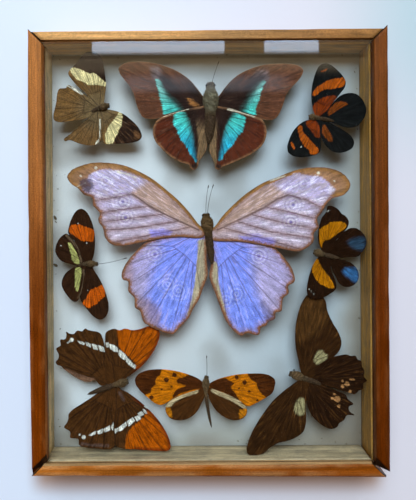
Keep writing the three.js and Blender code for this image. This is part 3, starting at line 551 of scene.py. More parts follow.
def numbers(text):
    """Pairs or triples of numbers written as "x,y x,y" become rows of an array."""
    return np.array([[float(n) for n in item.split(",")] for item in text.split()])


def on_plan(points, height):
    """Plan squares and heights become places in metres: squares shrink evenly towards the eye's height,
    the plan turns about its foot, and the foot stands at the eye's place."""
    square = PLAN_SQUARE * (1 - height / EYE_HEIGHT)
    right = points[..., 0] - PLAN_FOOT[0]
    down = points[..., 1] - PLAN_FOOT[1]
    along_x = right * math.cos(PLAN_TURN) - down * math.sin(PLAN_TURN)
    along_y = right * math.sin(PLAN_TURN) + down * math.cos(PLAN_TURN)
    level = np.broadcast_to(height, along_x.shape)
    return np.stack([EYE_X + along_x * square, EYE_Y - along_y * square, level], -1) * MM


def even_steps(line, step):
    """Points at equal steps along a line of many short pieces."""
    run = np.concatenate([[0], np.cumsum(np.linalg.norm(np.diff(line, axis=0), axis=1))])
    count = max(int(round(run[-1] / step)), 2)
    at = np.linspace(0, run[-1], count + 1)
    return np.stack([np.interp(at, run, line[:, i]) for i in range(line.shape[1])], -1)


def smooth_loop(points, step):
    """A closed curve through the points: each stretch is the cubic that leaves and arrives along the
    directions set by its neighbours, timed by the square roots of the distances between points."""
    here = np.asarray(points, float)
    before, after, beyond = np.roll(here, 1, 0), np.roll(here, -1, 0), np.roll(here, -2, 0)
    gap = np.sqrt(np.linalg.norm(after - here, axis=1))[:, None]
    gap_before, gap_after = np.roll(gap, 1, 0), np.roll(gap, -1, 0)
    ahead = (after - here) / gap
    leave = ((here - before) / gap_before - (after - before) / (gap_before + gap) + ahead) * gap
    arrive = (ahead - (beyond - here) / (gap + gap_after) + (beyond - after) / gap_after) * gap
    s = np.linspace(0, 1, 12, endpoint=False)[None, :, None]
    curve = (
        (2 * s**3 - 3 * s**2 + 1) * here[:, None]
        + (s**3 - 2 * s**2 + s) * leave[:, None]
        + (3 * s**2 - 2 * s**3) * after[:, None]
        + (s**3 - s**2) * arrive[:, None]
    ).reshape(-1, here.shape[1])
    return even_steps(np.concatenate([curve, curve[:1]]), step)[:-1]


def three_point_path(points, share):
    """The parabola through three points, at share 0, a half and 1."""
    start, middle, end = (np.asarray(p, float) for p in points)
    s = np.asarray(share, float)[:, None]
    return start * (1 - s) * (1 - 2 * s) + middle * 4 * s * (1 - s) + end * s * (2 * s - 1)


def line_distance(points, line, closed=False):
    """How far each point is from the nearest stretch of a line."""
    start = line if closed else line[:-1]
    edge = (np.roll(line, -1, 0) if closed else line[1:]) - start
    away = points[:, None] - start
    length = np.maximum((edge**2).sum(-1), 1e-12)
    share = np.clip((away * edge).sum(-1) / length, 0, 1)
    return np.linalg.norm(away - share[..., None] * edge, axis=-1).min(1)


def inward_distance(points, loop):
    """How far each point is inside a loop, negative outside it, where a ray to the right that crosses
    the loop an odd number of times starts inside."""
    start, end = loop, np.roll(loop, -1, 0)
    rise = end[:, 1] - start[:, 1]
    slope = (end[:, 0] - start[:, 0]) / np.where(rise == 0, 1, rise)
    x, y = points[:, :1], points[:, 1:2]
    crossed = ((start[:, 1] > y) != (end[:, 1] > y)) & (x < start[:, 0] + (y - start[:, 1]) * slope)
    inside = crossed.sum(1) % 2 == 1
    return np.where(inside, 1, -1) * line_distance(points, loop, closed=True)


def wobble(points, wavelength, seed):
    """Smooth unevenness between about -1 and 1: six sine waves with seeded directions, lengths and
    phases, added up."""
    draws = np.random.default_rng(seed)
    points = np.asarray(points, float)
    directions = draws.normal(size=(6, points.shape[-1]))
    directions /= np.linalg.norm(directions, axis=1)[:, None]
    lengths = wavelength * draws.uniform(0.6, 1.6, 6)
    phases = draws.uniform(0, 2 * math.pi, 6)
    return np.sin(2 * math.pi * (points @ directions.T) / lengths + phases).sum(-1) / 3


def skin_faces(count, sides, pointed=True):
    """Faces over `count` rings of `sides` corners: four-cornered ones between rings, and at each end a fan
    to one more corner, or one flat face."""
    ring = np.arange(count * sides).reshape(count, sides)
    turned = np.roll(ring, -1, 1)
    walls = np.stack([ring[:-1], turned[:-1], turned[1:], ring[1:]], -1).reshape(-1, 4)
    if not pointed:
        return [walls, ring[:1, ::-1], ring[-1:]]
    first = np.full(sides, count * sides)
    fans = [
        np.stack([turned[0], ring[0], first], -1),
        np.stack([ring[-1], turned[-1], first + 1], -1),
    ]
    return [walls, *fans]


def turned_outward(places, faces):
    """The same faces, all turned round if the volume that they close comes out negative."""
    volume = 0.0
    for block in faces:
        for i in range(1, block.shape[1] - 1):
            a, b, c = (places[block[:, k]] for k in (0, i, i + 1))
            volume += np.einsum("ij,ij->", a, np.cross(b, c))
    return faces if volume > 0 else [block[:, ::-1] for block in faces]


def tube(path, radii, sides, squash=1.0, up=(0, 0, 1)):
    """A closed skin round a path: at each point a ring across the path, as wide as its radius and
    squashed along `up`, and both ends closed by a point on the path."""
    path = np.asarray(path, float)
    ahead = np.gradient(path, axis=0)
    ahead /= np.linalg.norm(ahead, axis=1)[:, None]
    across = np.cross(ahead, np.asarray(up, float))
    across /= np.linalg.norm(across, axis=1)[:, None]
    above = np.cross(across, ahead)
    turn = np.linspace(0, 2 * math.pi, sides, endpoint=False)
    radii = np.broadcast_to(np.asarray(radii, float), (len(path),))[:, None, None]
    rings = path[:, None] + radii * (
        across[:, None] * np.cos(turn)[None, :, None] + squash * above[:, None] * np.sin(turn)[None, :, None]
    )
    places = np.concatenate([rings.reshape(-1, 3), path[:1], path[-1:]])
    return places, turned_outward(places, skin_faces(len(path), sides))


def hairs(roots, ways, lengths, width):
    """One thin three-sided spike per root: a small triangle across its way and a point at its length."""
    ways = ways / np.linalg.norm(ways, axis=1)[:, None]
    side = np.cross(ways, [0.37, 0.21, 0.9])
    side /= np.linalg.norm(side, axis=1)[:, None]
    other = np.cross(ways, side)
    corners = [
        roots + width * (side * math.cos(a) + other * math.sin(a)) for a in np.arange(3) * 2 * math.pi / 3
    ]
    places = np.stack([*corners, roots + ways * lengths[:, None]], 1).reshape(-1, 3)
    first = np.arange(len(roots))[:, None] * 4
    block = np.concatenate([first + np.array(f) for f in ([0, 2, 1], [0, 1, 3], [1, 2, 3], [2, 0, 3])])
    return places, turned_outward(places, [block])


def make_piece(name, parts, material, node=None, slot=None):
    """One mesh object from closed parts, each (places in metres, blocks of faces, values per corner). It
    stays at the origin, rides on the case and stands for its CAD node."""
    places, blocks, values, first = [], [], {}, 0
    kinds = sorted({key for part in parts for key in part[2]})
    for part_places, faces, part_values in parts:
        places.append(part_places)
        blocks += [block + first for block in faces]
        for kind in kinds:
            given = part_values.get(kind)
            values.setdefault(kind, []).append(
                np.zeros(len(part_places)) if given is None else np.broadcast_to(
                    given, (len(part_places), *np.shape(given)[1:]))
            )
        first += len(part_places)
    corners = np.concatenate([block.ravel() for block in blocks])
    totals = np.concatenate([np.full(len(block), block.shape[1]) for block in blocks])
    mesh = bpy.data.meshes.new(name)
    mesh.vertices.add(first)
    mesh.vertices.foreach_set("co", np.concatenate(places).astype(np.float32).ravel())
    mesh.loops.add(len(corners))
    mesh.loops.foreach_set("vertex_index", corners.astype(np.int32))
    mesh.polygons.add(len(totals))
    mesh.polygons.foreach_set("loop_start", (np.cumsum(totals) - totals).astype(np.int32))
    mesh.polygons.foreach_set("loop_total", totals.astype(np.int32))
    mesh.polygons.foreach_set("use_smooth", totals < 5)
    for kind, rows in values.items():
        rows = np.concatenate(rows).astype(np.float32)
        form, field = ("FLOAT", "value") if rows.ndim == 1 else ("FLOAT_VECTOR", "vector")
        mesh.attributes.new(kind, form, "POINT").data.foreach_set(field, rows.ravel())
    mesh.update(calc_edges=True)
    mesh.materials.append(material)
    piece = bpy.data.objects.new(name, mesh)
    bpy.context.scene.collection.objects.link(piece)
    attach(piece, "root")
    if node:
        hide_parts(node)
    return piece


class Shader:
    """The nodes of one material, added through short calls. A socket or a plain value goes in anywhere."""

    def __init__(self, name):
        self.material = bpy.data.materials.new(name)
        self.material.use_nodes = True
        self.nodes = self.material.node_tree.nodes
        self.nodes.clear()

    def put(self, socket, value):
        """Links a socket or sets a value. Three numbers become an opaque colour."""
        if isinstance(value, bpy.types.NodeSocket):
            self.material.node_tree.links.new(value, socket)
        elif hasattr(value, "__len__") and len(value) == 3 and socket.type == "RGBA":
            socket.default_value = (*value, 1)
        else:
            socket.default_value = value

    def node(self, kind, out=0, settings=None, **inputs):
        """One output of a new node. Inputs are given by number, as i0, or by name with _ for a space."""
        made = self.nodes.new(kind)
        for key, value in (settings or {}).items():
            setattr(made, key, value)
        for key, value in inputs.items():
            place = int(key[1:]) if key[1:].isdigit() else key.replace("_", " ")
            self.put(made.inputs[place], value)
        return made.outputs[out]

    def attribute(self, name, vector=False):
        return self.node("ShaderNodeAttribute", "Vector" if vector else "Fac", {"attribute_name": name})

    def object_place(self):
        return self.node("ShaderNodeTexCoord", "Object")

    def math(self, operation, a, b=0.0):
        return self.node("ShaderNodeMath", 0, {"operation": operation}, i0=a, i1=b)

    def times(self, a, b):
        return self.math("MULTIPLY", a, b)

    def plus(self, a, b):
        return self.math("ADD", a, b)

    def minus(self, a, b):
        return self.math("SUBTRACT", a, b)

    def step(self, value, low, high, to_low=0.0, to_high=1.0):
        """A smooth change from to_low to to_high while the value goes from low to high."""
        return self.node(
            "ShaderNodeMapRange", 0, {"interpolation_type": "SMOOTHSTEP"},
            i0=value, i1=low, i2=high, i3=to_low, i4=to_high)

    def noise(self, vector, scale, detail=2.0, roughness=0.5):
        return self.node(
            "ShaderNodeTexNoise", 0, {"noise_dimensions": "3D"},
            Vector=vector, Scale=scale, Detail=detail, Roughness=roughness)

    def stretched(self, vector, scale):
        """A place with each axis multiplied, so that a high number draws a pattern fine along it."""
        settings = {"vector_type": "POINT"}
        return self.node("ShaderNodeMapping", 0, settings, Vector=vector, Scale=scale)

    def parts(self, vector):
        made = self.nodes.new("ShaderNodeSeparateXYZ")
        self.put(made.inputs[0], vector)
        return made.outputs

    def mix(self, share, a, b, blend="MIX"):
        settings = {"data_type": "RGBA", "blend_type": blend}
        return self.node("ShaderNodeMix", 2, settings, i0=share, i6=a, i7=b)

    def shaded(self, paint, shade):
        """The colour times a number."""
        grey = self.node("ShaderNodeCombineColor", 0, None, i0=shade, i1=shade, i2=shade)
        return self.mix(1.0, paint, grey, "MULTIPLY")

    def bump(self, height, depth, strength=0.5):
        return self.node("ShaderNodeBump", 0, None, Height=height, Distance=depth, Strength=strength)

    def surface(self, **inputs):
        return self.node("ShaderNodeBsdfPrincipled", 0, None, **inputs)

    def finish(self, surface):
        output = self.nodes.new("ShaderNodeOutputMaterial")
        self.put(output.inputs["Surface"], surface)
        return self.material


def vein_lines(loop, root, centre):
    """Veins on the plan: two stems from the root to the ends of the cell, a bar across it, and from
    points along that bar curved veins to points spread over the far rim."""
    shares = np.linspace(0.22, 0.78, VEINS)
    ends = loop[(shares * len(loop)).astype(int) % len(loop)]
    cell_ends = root + 0.42 * (ends[[1, -2]] - root) * 0.9 + 0.1 * (centre - root)
    hubs = cell_ends[0] + np.linspace(0, 1, VEINS)[:, None] * (cell_ends[1] - cell_ends[0])
    lines = [three_point_path([root, (root + hub) / 2, hub], np.linspace(0, 1, 24)) for hub in hubs[[0, -1]]]
    bar_middle = hubs.mean(0) * 0.97 + 0.03 * root
    lines.append(three_point_path([hubs[0], bar_middle, hubs[-1]], np.linspace(0, 1, 14)))
    for hub, end in zip(hubs, ends):
        bend = (hub + end) / 2 + 0.04 * ((hub + end) / 2 - hubs.mean(0))
        lines.append(three_point_path([hub, bend, hub + 0.985 * (end - hub)], np.linspace(0, 1, 30)))
    return lines


def mark_values(key, wing, points):
    """For each kind of marking on a butterfly, how far each plan point lies inside it on this wing."""
    values = {}
    for kind, on, shape, *half_width in MARKS[key]:
        depth = values.setdefault("mark_" + kind, np.full(len(points), -9.0))
        if on != wing:
            continue
        if shape == "*":
            found = np.full(len(points), 9.0)
        elif half_width:
            found = half_width[0] - line_distance(points, numbers(shape))
        else:
            rows = numbers(shape)
            if rows.shape[1] == 3:
                found = np.max([r - np.linalg.norm(points - (x, y), axis=1) for x, y, r in rows], axis=0)
            else:
                found = inward_distance(points, rows if len(rows) < 7 else smooth_loop(rows, 1.0))
        np.maximum(depth, found, out=depth)
    return values


class Wing:
    """One wing of a butterfly: its outline on the plan, and the height of its middle surface anywhere."""

    def __init__(self, key, name, step, seed):
        insect = BUTTERFLIES[key]
        self.key, self.name, self.seed = key, name, seed
        self.rise, lift, outline = insect["wings"][name]
        self.base = insect["height"] + lift * WING_STAGGER
        corners = numbers(outline)
        self.root = corners[0]
        self.loop = smooth_loop(corners, step)
        self.reach = np.linalg.norm(self.loop - self.root, axis=1).max()
        self.centre = self.root + 0.62 * (self.loop.mean(0) - self.root)
        notch = wobble(np.arange(len(self.loop))[:, None] * step, 5.0, seed)
        far = np.clip(np.linalg.norm(self.loop - self.root, axis=1) / self.reach * 2 - 0.5, 0, 1)
        self.loop += (self.centre - self.loop) * (0.004 * np.clip(notch, 0, 1) * far)[:, None]
        drawn = [numbers(mark[2]) for mark in MARKS[key] if mark[:2] == ("nerve", name)]
        self.veins = drawn or vein_lines(self.loop, self.root, self.centre)

    def away(self, points):
        """How far each point is from the root."""
        return np.linalg.norm(points - self.root, axis=1)

    def height(self, points, vein_gap):
        """Even rise with the distance from the root, a shared gentle wave over all four wings, and a
        slight sag between veins."""
        rise = self.rise * self.away(points) / self.reach
        wave = 0.16 * wobble(points, 55.0, self.seed // 10) * np.clip(self.away(points) / 25, 0, 1)
        return self.base + rise + wave - 0.1 * np.clip(vein_gap / 3, 0, 1)

    def values(self, points, vein_gap):
        """What the wing's paint reads at plan points."""
        from_root = points - self.root
        middle = self.loop.mean(0) - self.root
        angle = np.arctan2(
            from_root[:, 0] * middle[1] - from_root[:, 1] * middle[0], from_root @ middle)
        length = self.away(points)
        streak = np.stack([angle * 30, length * 0.06, np.full(len(points), self.seed * 0.7)], -1)
        found = mark_values(self.key, self.name, points)
        found["plan"] = np.concatenate([points, np.full((len(points), 1), self.seed * 3.0)], 1)
        found["streak"] = streak
        found["root_gap"] = length
        found["vein_gap"] = vein_gap
        found["rim_gap"] = np.maximum(inward_distance(points, self.loop[::2]), 0)
        found["hind"] = np.full(len(points), 1.0 if "hind" in self.name else 0.0)
        return found

    def vein_gap(self, points):
        """How far each point is from the nearest vein."""
        return np.min([line_distance(points, line) for line in self.veins], axis=0)

    def membrane(self, step, half_thickness):
        """Rings of the outline's shape, drawn in towards a middle point: outwards over the top and back
        under, so that both sides meet at the rim, where the thickness ends."""
        rings = max(int(np.linalg.norm(self.loop - self.centre, axis=1).max() / step), 8)
        radius = np.linalg.norm(self.loop - self.centre, axis=1).mean()
        brim = 1 - np.array([0.4, 0.12]) / radius
        top = np.concatenate([np.linspace(0, brim[0], rings + 1)[1:], [brim[1], 1.0]])
        under = np.concatenate([brim[::-1], np.linspace(brim[0], 0, 9)[1:-1]])
        shares = np.concatenate([top, under])
        swell = np.interp(shares, [0, *brim, 1], [1, 1, 0.75, 0])
        swell[len(top):] *= -1
        points = self.centre + shares[:, None, None] * (self.loop - self.centre)
        points = np.concatenate([points.reshape(-1, 2), [self.centre, self.centre]])
        swell = np.concatenate([np.repeat(swell, len(self.loop)), [1, -1]])
        gap = self.vein_gap(points)
        places = on_plan(points, self.height(points, gap) + half_thickness * swell)
        faces = turned_outward(places, skin_faces(len(shares), len(self.loop)))
        return places, faces, self.values(points, gap)

    def ribs(self, half_thickness, radius):
        """A thin raised tube along each vein, thicker near the root."""
        for line in self.veins:
            line = even_steps(line, 1.2)
            gap = np.zeros(len(line))
            places = on_plan(line, self.height(line, gap) + half_thickness * 0.9)
            size = radius * MM * (1.25 - 0.75 * self.away(line) / self.reach)
            places, faces = tube(places, size, 5)
            points = np.concatenate([np.repeat(line, 5, 0), line[:1], line[-1:]])
            yield places, faces, self.values(points, np.zeros(len(points)))


def body_parts(key, seed):
    """Head, thorax and abdomen: rings along the spine whose radius swells three times, drawn in a little
    between the abdomen's segments, and pushed in and out in lumps, most on the thorax. Then two domed eyes,
    and seeded hairs, four fifths of them from the head to the waist and the rest, half as long, behind."""
    insect = BUTTERFLIES[key]
    square = PLAN_SQUARE * (1 - insect["height"] / EYE_HEIGHT) * MM
    thorax, abdomen, waist = insect["thorax"] * square, insect["abdomen"] * square, insect["thorax_end"]
    head = 0.16 * waist
    marks = np.array([
        [0, 0.02 * thorax], [0.4 * head, 0.4 * thorax], [head, 0.55 * thorax], [1.7 * head, 0.45 * thorax],
        [0.45 * waist, 0.95 * thorax], [0.75 * waist, thorax], [waist, 0.75 * abdomen],
        [waist + 0.3 * (1 - waist), abdomen], [waist + 0.7 * (1 - waist), 0.85 * abdomen],
        [waist + 0.93 * (1 - waist), 0.45 * abdomen], [1, 0.02 * abdomen],
    ])
    share = 0.5 - 0.5 * np.cos(np.linspace(0, math.pi, BODY_RINGS))
    radius = np.interp(share, marks[:, 0], marks[:, 1])
    padded = np.pad(radius, 3, mode="reflect", reflect_type="odd")
    radius = np.maximum(np.convolve(padded, np.full(7, 1 / 7), "valid"), 0.01 * thorax)
    behind = np.clip((share - waist) / (1 - waist), 0, 1)
    radius *= 1 - 0.07 * (behind > 0) * np.cos(behind * 8 * 2 * math.pi).clip(0) ** 4
    radius[[0, -1]] = 0.01 * thorax
    spine = on_plan(numbers(insect["spine"]), insect["height"])
    path = three_point_path(spine, share)
    places, faces = tube(path, radius, BODY_SIDES, 0.92)
    turn = np.tile(np.linspace(0, 2 * math.pi, BODY_SIDES, endpoint=False), len(share))
    spots = np.stack([np.repeat(share, BODY_SIDES) * 40 + 2.5 * np.cos(turn), 2.5 * np.sin(turn)], -1)
    uneven = np.repeat(np.where(share < waist, 1.0, 0.35), BODY_SIDES)
    lump = 1 + 0.12 * wobble(spots, 3.2, seed) * uneven
    middle = np.repeat(path, BODY_SIDES, 0)
    places[:-2] = middle + (places[:-2] - middle) * lump[:, None]
    along = np.concatenate([np.repeat(share, BODY_SIDES), [0, 1]])
    yield places, faces, {"along": along, "plan": places / MM, "hair": np.zeros(len(places))}

    draws = np.random.default_rng(seed)
    ahead = np.gradient(path, axis=0)
    ahead /= np.linalg.norm(ahead, axis=1)[:, None]
    across = np.cross(ahead, [0, 0, 1.0])
    at = int(np.argmin(abs(share - 0.75 * head)))
    for side in (-1, 1):
        middle = path[at] + side * across[at] * 0.42 * thorax + np.array([0, 0, 0.1 * thorax])
        bulge = np.sin(np.linspace(0.02, math.pi - 0.02, 9))
        line = middle + np.linspace(-1, 1, 9)[:, None] * ahead[at] * 0.26 * thorax
        places, faces = tube(line, bulge * 0.27 * thorax, 12)
        yield places, faces, {
            "along": np.full(len(places), -1.0), "plan": places / MM, "hair": np.zeros(len(places))}

    count = int(HAIRS * insect["thorax"] / HAIRY_THORAX)
    place = np.where(draws.uniform(0, 1, count) < 0.8, draws.uniform(0.25 * head, waist * 1.15, count),
                     draws.uniform(waist, 0.97, count))
    turn = draws.uniform(-0.35, math.pi + 0.35, count)
    middle = np.stack([np.interp(place, share, path[:, i]) for i in range(3)], -1)
    out = np.cos(turn)[:, None] * np.array([np.interp(place, share, across[:, i]) for i in range(3)]).T
    out[:, 2] += 0.92 * np.sin(turn)
    size = np.interp(place, share, radius)[:, None]
    ways = out + draws.normal(0, 0.45, (count, 3)) - 0.9 * ahead[(place * (BODY_RINGS - 1)).astype(int)]
    lengths = draws.uniform(0.35, 0.95, count) * (0.5 + 0.11 * insect["thorax"]) * MM
    lengths *= np.where(place < waist * 1.15, 1.0, 0.5)
    places, faces = hairs(middle + out * size * 0.96, ways, lengths, 0.07 * MM)
    along = np.repeat(place, 4)
    pale = np.repeat(draws.uniform(0, 1, count) ** 1.6, 4) * np.tile([0.5, 0.5, 0.5, 1.0], count)
    yield places, faces, {"along": along, "plan": places / MM, "hair": pale}


def feeler_parts(key, thickness):
    """A thread along a parabola through three points, with a club over its last tenth."""
    insect = BUTTERFLIES[key]
    share = np.concatenate([np.linspace(0, 0.86, 22), np.linspace(0.88, 1, 10)])
    club = np.interp(share, [0, 0.86, 0.92, 0.97, 1], [1.0, 0.8, 2.0, 2.1, 0.2])
    for text in insect["feelers"]:
        path = three_point_path(on_plan(numbers(text), insect["height"] + 0.4), share)
        places, faces = tube(path, thickness * MM * club, 8)
        yield places, faces, {
            "plan": places / MM, "hair": np.zeros(len(places)), "along": np.full(len(places), 0.02)}


def pin_parts(key):
    """A thin upright thread from the board into the thorax, drawn to a point below."""
    insect = BUTTERFLIES[key]
    middle = three_point_path(
        on_plan(numbers(insect["spine"]), insect["height"]), [0.62 * insect["thorax_end"]])[0]
    up = np.array([PIN_TIP, PIN_TIP + 0.8, 6.0, 9.0, insect["height"] - 0.2]) * MM
    path = np.stack([np.full(5, middle[0]), np.full(5, middle[1]), up], -1)
    places, faces = tube(path, np.array([0.02, 0.22, 0.24, 0.24, 0.24]) * MM, 10, up=(0, 1, 0))
    yield places, faces, {}


def colour(name, description, red, green, blue):
    """A colour setting, given as the 0 to 255 values of a colour picker."""
    default = [linear(red), linear(green), linear(blue)]
    return FloatVectorProperty(
        name=name, description=description, subtype="COLOR", size=3, min=0.0, max=1.0, default=default)


def linear(level):
    """A colour picker's 0 to 255 as the share of light that it stands for."""
    share = level / 255
    return share / 12.92 if share <= 0.04045 else ((share + 0.055) / 1.055) ** 2.4


def layer(kind, tone, soft=0.5, ragged=0.8, share=1.0, width=0.0, comb=1.5, on=None, fade=None, ring=None):
    """One coat of paint on a wing. kind is a marking, a gap, the hindwings or the streaks. soft and ragged
    blur and roughen its edge in plan squares, and for streaks soft is the level where they set in. comb
    draws the edge out along the scales' rows. width makes a gap a band, a marking as much wider, and a
    ring as thick on each side. on limits the coat to hind or fore wings, fade is (axis, none at, full at)
    on the plan, and ring makes a spot a ring of that radius round its middle."""
    return {
        "kind": kind, "tone": tone, "soft": soft, "ragged": ragged, "share": share, "width": width,
        "comb": comb, "on": on, "fade": fade, "ring": ring,
    }


def coat_mask(shader, coat, streak, rough_edge, hind, place):
    """Where one coat of paint covers the wing, from 0 to its share: how far a point lies inside the
    marking, moved by rough and streaky noise, and stepped softly at the edge."""
    kind = coat["kind"]
    if kind == "hind":
        mask = shader.times(hind, coat["share"])
    elif kind == "streak":
        mask = shader.times(shader.step(streak, coat["soft"], coat["soft"] + 0.12), coat["share"])
    else:
        gap = kind in ("rim_gap", "root_gap", "vein_gap")
        inside = shader.attribute(kind if gap else "mark_" + kind)
        if gap:
            inside = shader.minus(coat["width"], inside)
        elif coat["ring"]:
            from_ring = shader.plus(inside, coat["ring"] - EYE_REACH)
            inside = shader.minus(coat["width"], shader.math("ABSOLUTE", from_ring))
        elif coat["width"]:
            inside = shader.plus(inside, coat["width"])
        if coat["ragged"]:
            inside = shader.plus(inside, shader.times(rough_edge, 2 * coat["ragged"]))
        if coat["comb"] and not gap:
            inside = shader.plus(inside, shader.times(shader.minus(streak, 0.5), 2 * coat["comb"]))
        mask = shader.step(inside, -coat["soft"], coat["soft"], 0.0, coat["share"])
    if coat["on"]:
        mask = shader.times(mask, hind if coat["on"] == "hind" else shader.minus(1.0, hind))
    if coat["fade"]:
        axis, start, stop = coat["fade"]
        mask = shader.times(mask, shader.step(place["xy".index(axis)], start, stop))
    return mask


def wing_material(name, tones, layers, shine, mottle):
    """Scales on a wing: coats of paint over the ground colour, lighter and darker in fine grain, broad
    patches, rows of scales and streaks that run outwards from the root, and pale dust in specks."""
    shader = Shader(name)
    plan = shader.attribute("plan", vector=True)
    streak = shader.noise(shader.attribute("streak", vector=True), 1.0, 4.0, 0.6)
    rough_edge = shader.minus(shader.noise(plan, 0.55, 4.0, 0.6), 0.5)
    hind = shader.attribute("hind")
    place = shader.parts(plan)
    paint = tones.ground
    for coat in layers:
        mask = coat_mask(shader, coat, streak, rough_edge, hind, place)
        paint = shader.mix(mask, paint, getattr(tones, coat["tone"]))
    grain = shader.noise(plan, 0.9, 4.0, 0.75)
    patchy = shader.noise(plan, 0.16, 3.0, 0.55)
    shade = shader.step(grain, 0.3, 0.7, 1 - mottle, 1 + mottle * 0.9)
    shade = shader.times(shade, shader.step(patchy, 0.3, 0.7, 1 - mottle * 0.5, 1 + mottle * 0.4))
    shade = shader.times(shade, shader.step(streak, 0.3, 0.7, 1 - mottle, 1 + mottle * 0.9))
    paint = shader.shaded(paint, shade)
    rows = shader.stretched(shader.attribute("streak", vector=True), (2.3, 1.5, 1.0))
    rows = shader.noise(rows, 1.0, 3.0, 0.6)
    paint = shader.shaded(paint, shader.step(rows, 0.38, 0.52, 1 - mottle * 0.8, 1.05))
    dust = shader.noise(plan, 0.8, 3.0, 0.8)
    paint = shader.mix(shader.step(dust, 0.68, 0.76, 0.0, 0.35), paint, tones.dust)
    height = shader.plus(grain, shader.times(streak, 0.6))
    surface = shader.surface(
        Base_Color=paint, Roughness=0.5, Specular_IOR_Level=shine, Normal=shader.bump(height, 0.00015, 0.6))
    return shader.finish(surface)


def body_material(name, tones):
    """Short fur from head to abdomen, lighter at the hairs' ends, over darker skin."""
    shader = Shader(name)
    along = shader.attribute("along")
    place = shader.attribute("plan", vector=True)
    grain = shader.noise(place, 1.3, 5.0, 0.75)
    shifted = shader.plus(along, shader.times(shader.minus(grain, 0.5), 0.08))
    skin = shader.mix(shader.step(shifted, 0.06, 0.12), tones.head, tones.thorax)
    skin = shader.mix(shader.step(shifted, tones.waist - 0.05, tones.waist + 0.07), skin, tones.abdomen)
    skin = shader.mix(shader.step(along, -0.5, -0.6), skin, tones.eye)
    shade = shader.step(grain, 0.32, 0.68, 0.4, 1.7)
    skin = shader.shaded(skin, shade)
    skin = shader.mix(shader.times(shader.attribute("hair"), 0.8), skin, tones.fur)
    surface = shader.surface(
        Base_Color=skin, Roughness=0.7, Specular_IOR_Level=0.15, Normal=shader.bump(grain, 0.0003, 0.7))
    return shader.finish(surface)


def steel_material():
    """Dull steel wire with fine drawn scratches along it."""
    shader = Shader("pin_steel")
    drawn = shader.noise(shader.stretched(shader.object_place(), (9000, 9000, 300)), 1.0, 3.0)
    paint = shader.mix(shader.step(drawn, 0.35, 0.65), (0.3, 0.3, 0.3), (0.55, 0.54, 0.52))
    surface = shader.surface(
        Base_Color=paint, Metallic=1.0, Roughness=0.35, Normal=shader.bump(drawn, 0.00002, 0.3))
    return shader.finish(surface)


def side_lines():
    """The inner edge of each side, from corner to corner with the opening on its right, and its width.
    A side's box gives its outer corners, and each 45 degree end is as much shorter inside as the side
    is wide."""
    boxes = {name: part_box(name) for name in ("stile_left", "stile_right", "rail_top", "rail_bottom")}
    low, high = boxes["stile_left"]
    yield "stile_left", (high.x, low.y, high.x, high.y), high.x - low.x
    low, high = boxes["stile_right"]
    yield "stile_right", (low.x, high.y, low.x, low.y), high.x - low.x
    low, high = boxes["rail_top"]
    yield "rail_top", (low.x, low.y, high.x, low.y), high.y - low.y
    low, high = boxes["rail_bottom"]
    yield "rail_bottom", (high.x, high.y, low.x, high.y), high.y - low.y


def moulding_profile(width, case):
    """The side seen along its length, w from the inner edge outwards and z up, in millimetres: a plain
    upright section with rounded top edges, a groove for the glass and a rebate for the boards, with its
    long stretches divided so that they can be uneven. Also how rounded each corner of it is."""
    outer, inner = case.edge_round / MM, case.inner_round / MM
    top = case.depth / MM
    groove_low, groove_high = case.groove_low / MM, case.groove_high / MM
    turn = np.linspace(0, math.pi / 2, 9)
    corners = [(REBATE[0], 0.25), (REBATE[0] + 0.25, 0), (width - 0.5, 0), (width, 0.5)]
    corners += [(width - outer + outer * math.cos(a), top - outer + outer * math.sin(a)) for a in turn]
    corners += [(inner - inner * math.sin(a), top - inner + inner * math.cos(a)) for a in turn]
    corners += [(0, groove_high), (GROOVE_DEPTH, groove_high), (GROOVE_DEPTH, groove_low), (0, groove_low)]
    corners += [(0, REBATE[1]), (REBATE[0], REBATE[1])]
    corners = np.array(corners)
    rounded = np.zeros(len(corners))
    rounded[3:22] = 1
    fine, soft = [], []
    for i, (a, b) in enumerate(zip(corners, np.roll(corners, -1, 0))):
        count = max(int(np.linalg.norm(b - a) / 1.3), 1)
        share = np.arange(count)[:, None] / count
        fine.append(a + share * (b - a))
        soft.append(np.where(share[:, 0] == 0, rounded[i], 0.0))
    return np.concatenate(fine), np.concatenate(soft)


